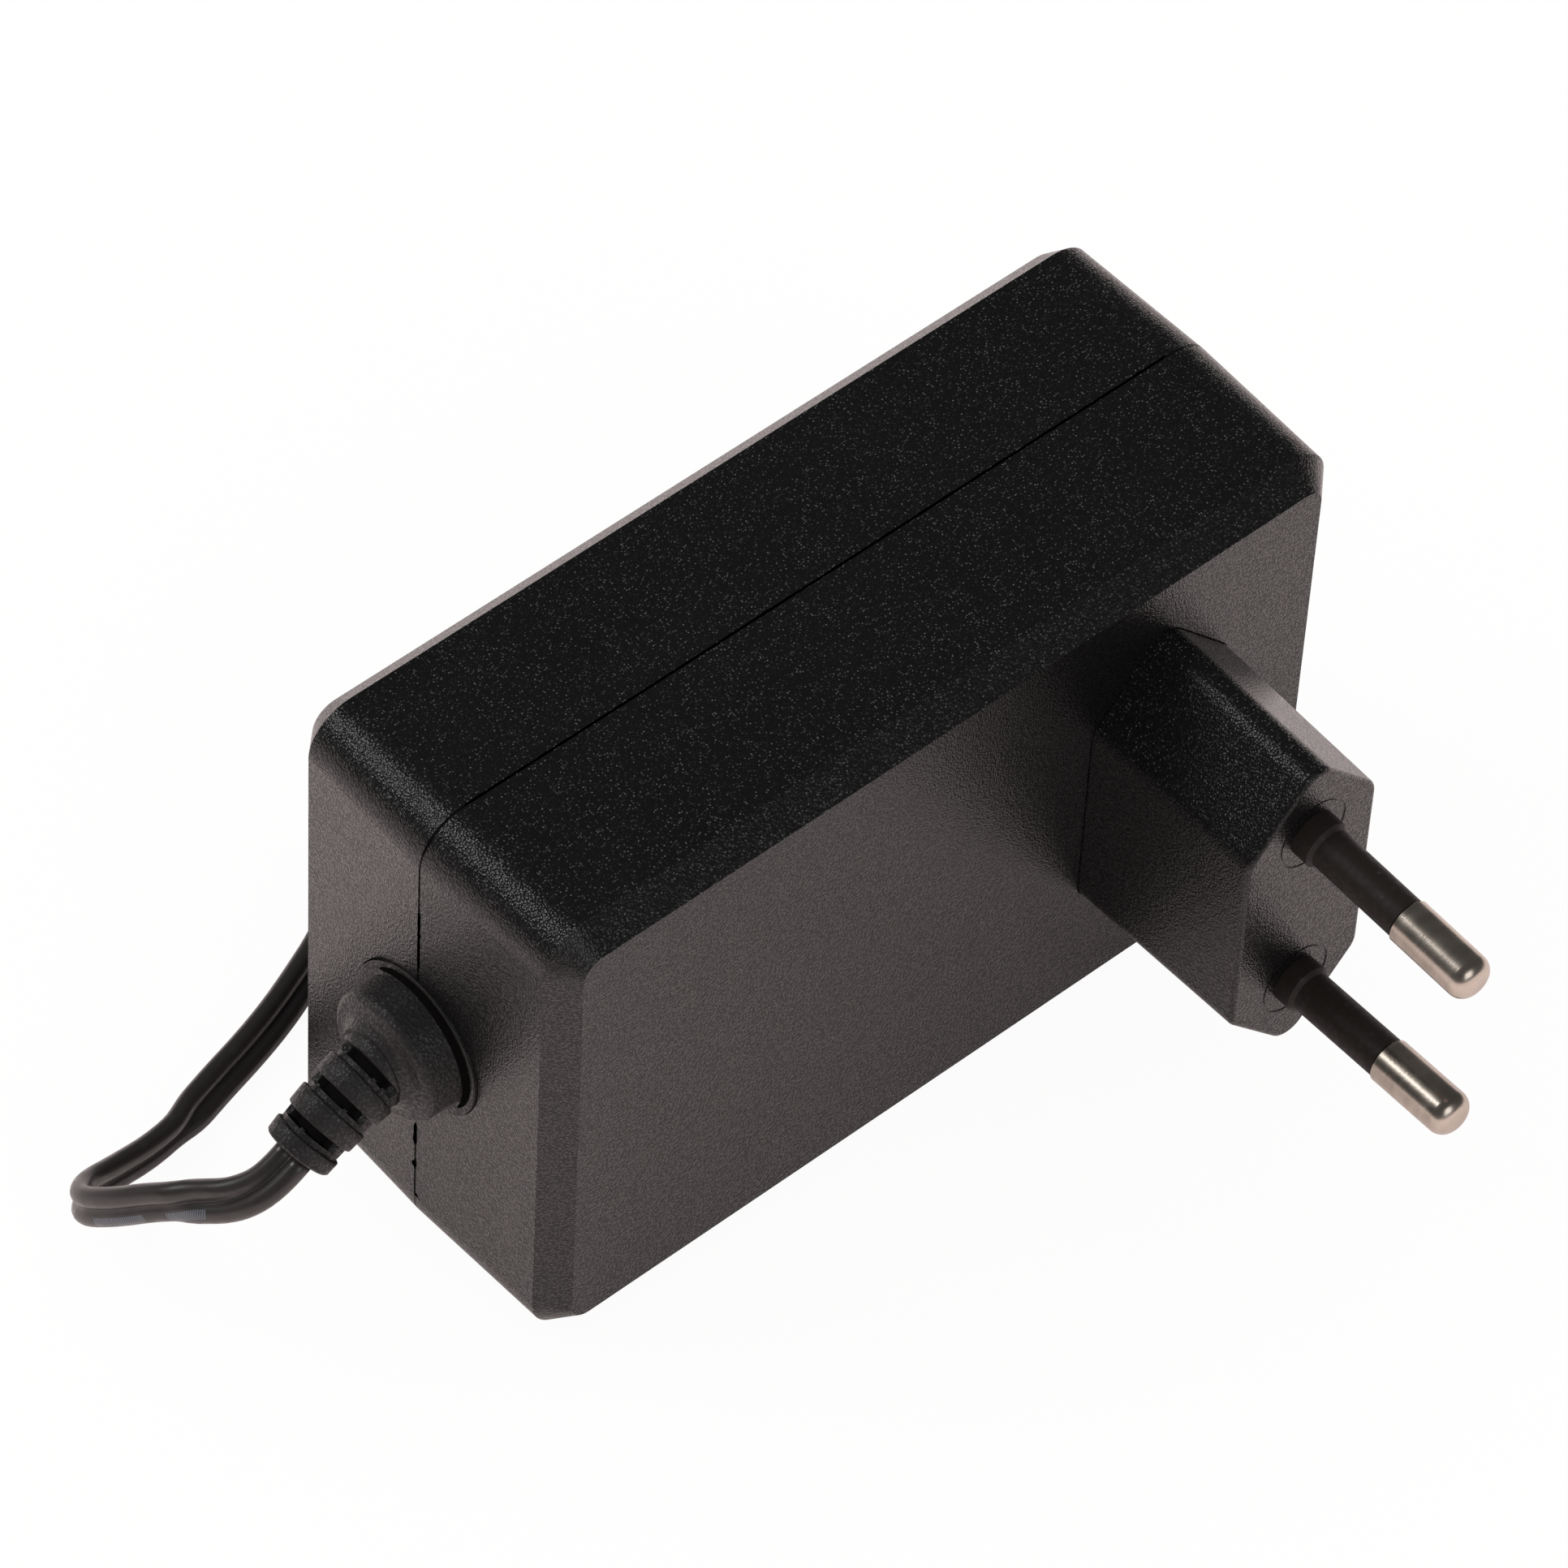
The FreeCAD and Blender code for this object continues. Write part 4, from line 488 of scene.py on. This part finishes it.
def moulded(name, colour, roughness, grain_size, depth, glints=0.0, glint_level=0.1, wear=0.7, index=1.3):
    """Moulded plastic or vinyl with an eroded grain whose tops are smoother than its valleys. Metres.

    Glints is the share of pebbles that don't glint, and wear is how much more the tops shine than the valleys.
    """
    material, tree, surface = new_material(name)
    surface.inputs["IOR"].default_value = index
    surface.inputs["Coat Roughness"].default_value = roughness
    surface.inputs["Coat IOR"].default_value = 1.4
    grain = add_node(tree, "ShaderNodeGroup", node_tree=GRAIN)
    grain.inputs["Grain Size"].default_value = grain_size
    grain.inputs["Glints"].default_value = glints
    bump = add_node(tree, "ShaderNodeBump", {"Strength": 1.0, "Distance": depth})
    tree.links.new(grain.outputs["Height"], bump.inputs["Height"])
    tree.links.new(bump.outputs["Normal"], surface.inputs["Normal"])
    tree.links.new(bump.outputs["Normal"], surface.inputs["Coat Normal"])
    rough = add_node(tree, "ShaderNodeMapRange", {"To Min": roughness + 0.1, "To Max": roughness})
    tree.links.new(grain.outputs["Tops"], rough.inputs["Value"])
    tree.links.new(rough.outputs[0], surface.inputs["Roughness"])
    polish = add_node(tree, "ShaderNodeMapRange", {"To Min": 0.5 - 0.5 * wear, "To Max": 0.5 + 0.5 * wear})
    tree.links.new(grain.outputs["Tops"], polish.inputs["Value"])
    tree.links.new(polish.outputs[0], surface.inputs["Coat Weight"])
    shade = add_node(tree, "ShaderNodeMix", data_type="RGBA")
    shade.inputs["A"].default_value = (*(0.8 * c for c in colour), 1)
    shade.inputs["B"].default_value = (*(1.2 * c for c in colour), 1)
    tree.links.new(grain.outputs["Cloud"], shade.inputs["Factor"])
    # Painted glint: pebbles that glint and face upwards get a pale colour painted into the base colour.
    lit = add_node(tree, "ShaderNodeMix", data_type="RGBA")
    lit.inputs["B"].default_value = (glint_level, glint_level, 0.97 * glint_level, 1)
    tree.links.new(grain.outputs["Glint"], lit.inputs["Factor"])
    tree.links.new(shade.outputs["Result"], lit.inputs["A"])
    tree.links.new(lit.outputs["Result"], surface.inputs["Base Color"])
    return material


def dress(material, *names):
    """Gives CAD nodes or pieces a finish."""
    for name in names:
        piece = nodes.get(name) or bpy.data.objects[name]
        piece.data.materials.clear()
        piece.data.materials.append(material)


dress(moulded("Housing plastic", (0.004, 0.0038, 0.0038), 0.2, 0.00021, 0.00006), "front_shell", "rear_shell")
dress(moulded("Plug block plastic", (0.004, 0.0038, 0.0038), 0.2, 0.00021, 0.00006), "plug_insert")
dress(moulded("Sleeve plastic", (0.012, 0.0085, 0.007), 0.5, 0.0006, 0.00001, 0.5, 0.02, 0.2, 1.2), "sleeve_upper",
      "sleeve_lower")
dress(moulded("Relief vinyl", (0.011, 0.0098, 0.0095), 0.42, 0.0003, 0.00008, 0.6, 0.05, 0.7, 1.3), "slotted_relief")
cord_vinyl = moulded("Cord vinyl", (0.016, 0.0133, 0.012), 0.3, 0.0012, 0.00001, 0.5, 0.02, 0.1, 1.45)
dress(cord_vinyl, "twin_cord")
dress(moulded("Tie vinyl", (0.01, 0.01, 0.01), 0.45, 0.0006, 0.00001, 1.0, 0.1, 0.1), "hank_tie")
dress(moulded("Output plug vinyl", (0.01, 0.01, 0.01), 0.4, 0.0003, 0.00002), "dc_plug_body")

# The stripe's middle and half width as shares around the cord; the rest in the tens of centimetres of the UV map.
STRIPE_PLACE, STRIPE_HALF, STRIPE_START = 0.866, 0.04, 0.09
DASH_PITCH, DASH_SHARE, HATCH_PITCH, HATCH_GAP = 0.08, 0.68, 0.0024, 0.35


def striped(material):
    """Pale hatched dashes along the outer side of the cord's second core."""
    tree = material.node_tree
    surface = tree.nodes["Principled BSDF"]
    place = add_node(tree, "ShaderNodeUVMap", uv_map="cord")
    parts = tree.nodes.new("ShaderNodeSeparateXYZ")
    tree.links.new(place.outputs[0], parts.inputs[0])

    def math(operation, first, second):
        """Result of a node on two numbers or sockets."""
        node = add_node(tree, "ShaderNodeMath", operation=operation)
        for socket, source in zip(node.inputs, (first, second)):
            if isinstance(source, (int, float)):
                socket.default_value = source
            else:
                tree.links.new(source, socket)
        return node.outputs[0]

    along, around = parts.outputs["X"], parts.outputs["Y"]
    band = math("LESS_THAN", math("ABSOLUTE", math("SUBTRACT", around, STRIPE_PLACE), 0), STRIPE_HALF)
    dash = math("LESS_THAN", math("FRACT", math("MULTIPLY", along, 1 / DASH_PITCH), 0), DASH_SHARE)
    dash = math("MULTIPLY", dash, math("GREATER_THAN", along, STRIPE_START))
    slant = math("ADD", math("MULTIPLY", along, 1 / HATCH_PITCH), math("MULTIPLY", around, 9.0))
    hatch = math("GREATER_THAN", math("FRACT", slant, 0), HATCH_GAP)
    worn = add_node(tree, "ShaderNodeTexNoise", {"Scale": 900.0, "Detail": 2.0})
    kept = math("GREATER_THAN", worn.outputs["Fac"], 0.4)
    mask = math("MULTIPLY", math("MULTIPLY", band, dash), math("MULTIPLY", hatch, kept))
    share = math("MULTIPLY", mask, 0.8)
    paint = add_node(tree, "ShaderNodeMix", data_type="RGBA")
    before = surface.inputs["Base Color"].links[0].from_socket
    tree.links.new(share, paint.inputs["Factor"])
    tree.links.new(before, paint.inputs["A"])
    paint.inputs["B"].default_value = (0.1, 0.115, 0.14, 1)
    tree.links.new(paint.outputs["Result"], surface.inputs["Base Color"])


striped(cord_vinyl)


def change_group():
    """Slow and fine changes of a plain surface: a factor and a height, stretched by the scale vector."""
    group = bpy.data.node_groups.new("Surface change", "ShaderNodeTree")
    group.interface.new_socket("Stretch", in_out="INPUT", socket_type="NodeSocketVector").default_value = (1, 1, 1)
    for name in ("Change", "Height"):
        group.interface.new_socket(name, in_out="OUTPUT", socket_type="NodeSocketFloat")
    link = group.links.new
    given, out = group.nodes.new("NodeGroupInput"), group.nodes.new("NodeGroupOutput")
    place = group.nodes.new("ShaderNodeTexCoord")
    stretched = add_node(group, "ShaderNodeVectorMath", operation="MULTIPLY")
    link(place.outputs["Object"], stretched.inputs[0])
    link(given.outputs["Stretch"], stretched.inputs[1])
    slow = add_node(group, "ShaderNodeTexNoise", {"Scale": 250.0, "Detail": 3.0})
    fine = add_node(group, "ShaderNodeTexNoise", {"Scale": 2500.0, "Detail": 2.0})
    for texture in (slow, fine):
        link(stretched.outputs[0], texture.inputs["Vector"])
    link(slow.outputs["Fac"], out.inputs["Change"])
    link(fine.outputs["Fac"], out.inputs["Height"])
    return group


CHANGE = change_group()


def plain(name, colour, roughness, metallic=0.0, stretch=(1, 1, 1), depth=0.00001, spread=0.25, index=1.5):
    """Metal or inside material whose colour and roughness change a little over the piece."""
    material, tree, surface = new_material(name)
    surface.inputs["Metallic"].default_value = metallic
    surface.inputs["IOR"].default_value = index
    change = add_node(tree, "ShaderNodeGroup", node_tree=CHANGE)
    change.inputs["Stretch"].default_value = stretch
    bump = add_node(tree, "ShaderNodeBump", {"Strength": 1.0, "Distance": depth})
    tree.links.new(change.outputs["Height"], bump.inputs["Height"])
    tree.links.new(bump.outputs["Normal"], surface.inputs["Normal"])
    rough = add_node(tree, "ShaderNodeMapRange", {"To Min": roughness - 0.08, "To Max": roughness + 0.08})
    tree.links.new(change.outputs["Change"], rough.inputs["Value"])
    tree.links.new(rough.outputs[0], surface.inputs["Roughness"])
    shade = add_node(tree, "ShaderNodeMix", data_type="RGBA")
    shade.inputs["A"].default_value = (*((1 - spread) * c for c in colour), 1)
    shade.inputs["B"].default_value = (*((1 + spread) * c for c in colour), 1)
    tree.links.new(change.outputs["Change"], shade.inputs["Factor"])
    tree.links.new(shade.outputs["Result"], surface.inputs["Base Color"])
    return material


dress(plain("Pin nickel", (0.54, 0.475, 0.41), 0.27, 1.0, (1, 3, 1), 0.000005, 0.4), "pin_upper", "pin_lower")
# Painted shade: a dark, dull finish for the collar's foot, the recess's rim gap, the seam's groove and the slots'
# grooves.
painted_shade = plain("Painted shade vinyl", (0.006, 0.0054, 0.0052), 0.8, index=1.06)
dress(painted_shade, "collar_shade", "recess_line", "seam_line")
# The slots' groove faces get the painted shade.
relief.data.materials.append(painted_shade)
deep = relief.data.attributes["deep"].data
for polygon in relief.data.polygons:
    polygon.material_index = deep[polygon.index].value
# Painted glint: the pale, patchy colour of the strip on the recess's lip.
dress(plain("Painted lip glint", (0.035, 0.033, 0.032), 0.4, depth=0.0001, spread=0.9), "recess_lip_glint")
dress(plain("Output plug nickel", (0.45, 0.42, 0.38), 0.3, 1.0, (4, 1, 1), 0.000003), "dc_plug_barrel",
      "dc_plug_contact")
dress(plain("Output plug insulator", (0.55, 0.4, 0.08), 0.35), "dc_plug_insulator")
dress(plain("Board laminate", (0.35, 0.28, 0.12), 0.5, stretch=(1, 1, 4)), "circuit_board")
dress(plain("Ferrite", (0.06, 0.06, 0.062), 0.55, depth=0.00003), "choke_core", "transformer_core_left",
      "transformer_core_right")
dress(plain("Phenolic", (0.02, 0.02, 0.02), 0.4), "transformer_bobbin")
dress(plain("Enamelled copper", (0.5, 0.2, 0.07), 0.3, 0.8, (1, 1, 5), 0.00008), "choke_winding", "transformer_winding")
dress(plain("Polyester tape", (0.75, 0.6, 0.1), 0.2), "transformer_tape")
dress(plain("Shrink sleeve", (0.03, 0.04, 0.09), 0.25), "bulk_capacitor", "output_capacitor_1", "output_capacitor_2")
dress(plain("Fuse moulding", (0.2, 0.08, 0.03), 0.3), "fuse")
dress(plain("Film capacitor moulding", (0.7, 0.55, 0.12), 0.25), "x_capacitor")
dress(plain("Disc coat", (0.04, 0.12, 0.4), 0.2, depth=0.00003), "y_capacitor", "varistor")
dress(plain("Chip epoxy", (0.02, 0.02, 0.02), 0.6, depth=0.00002), "bridge_rectifier", "optocoupler", "controller_chip",
      "switching_transistor", "output_diode")
dress(plain("Rolled aluminium", (0.6, 0.6, 0.6), 0.35, 1.0, (1, 1, 8), 0.000005, 0.1), "transistor_heat_sink",
      "diode_heat_sink")
for wire, colour in (("mains_wire_upper", (0.15, 0.06, 0.03)), ("mains_wire_lower", (0.03, 0.08, 0.35)),
                     ("output_wire_upper", (0.4, 0.02, 0.02)), ("output_wire_lower", (0.02, 0.02, 0.02))):
    dress(plain("Wire vinyl " + wire, colour, 0.35), wire)

# Floor, backdrop and light.

floor_mesh = bmesh.new()
bmesh.ops.create_grid(floor_mesh, x_segments=1, y_segments=1, size=3.0)
floor_data = bpy.data.meshes.new("Floor")
floor_mesh.to_mesh(floor_data)
floor_mesh.free()
floor = bpy.data.objects.new("Floor", floor_data)
bpy.context.scene.collection.objects.link(floor)
material, tree, surface = new_material("White floor")
surface.inputs["Base Color"].default_value = (0.92, 0.8, 0.785, 1)
surface.inputs["Roughness"].default_value = 0.9
glow = add_node(tree, "ShaderNodeEmission", {"Color": (1, 1, 1, 1), "Strength": 1.0})
path = tree.nodes.new("ShaderNodeLightPath")
seen = add_node(tree, "ShaderNodeMath", {1: 0.95}, operation="MULTIPLY")
tree.links.new(path.outputs["Is Camera Ray"], seen.inputs[0])
mixed = tree.nodes.new("ShaderNodeMixShader")
tree.links.new(seen.outputs[0], mixed.inputs[0])
tree.links.new(surface.outputs[0], mixed.inputs[1])
tree.links.new(glow.outputs[0], mixed.inputs[2])
tree.links.new(mixed.outputs[0], tree.nodes["Material Output"].inputs["Surface"])
floor.data.materials.append(material)

world = bpy.data.worlds.new("Studio")
bpy.context.scene.world = world
world.use_nodes = True
tree = world.node_tree
sky = tree.nodes["Background"]
sky.inputs["Color"].default_value = (1, 1, 1, 1)
room = add_node(tree, "ShaderNodeBackground", {"Color": (0.09, 0.09, 0.092, 1)})
path = tree.nodes.new("ShaderNodeLightPath")
mixed = tree.nodes.new("ShaderNodeMixShader")
tree.links.new(path.outputs["Is Glossy Ray"], mixed.inputs[0])
tree.links.new(sky.outputs[0], mixed.inputs[1])
tree.links.new(room.outputs[0], mixed.inputs[2])
tree.links.new(mixed.outputs[0], tree.nodes["World Output"].inputs["Surface"])


def area_light(name, direction, distance, size, watts):
    """Square softbox that faces the adapter from a direction."""
    data = bpy.data.lights.new(name, "AREA")
    data.size = size
    data.energy = watts
    lamp = bpy.data.objects.new(name, data)
    bpy.context.scene.collection.objects.link(lamp)
    direction = Vector(direction).normalized()
    facing = direction.to_track_quat("Z", "Y").to_matrix().to_4x4()
    lamp.matrix_world = Matrix.Translation(direction * distance) @ facing


area_light("Key softbox", (-0.45, 0.6, 0.7), 1.2, 0.42, 3.7)
area_light("Front softbox", (-0.2, -0.9, 0.6), 1.4, 0.8, 3.4)
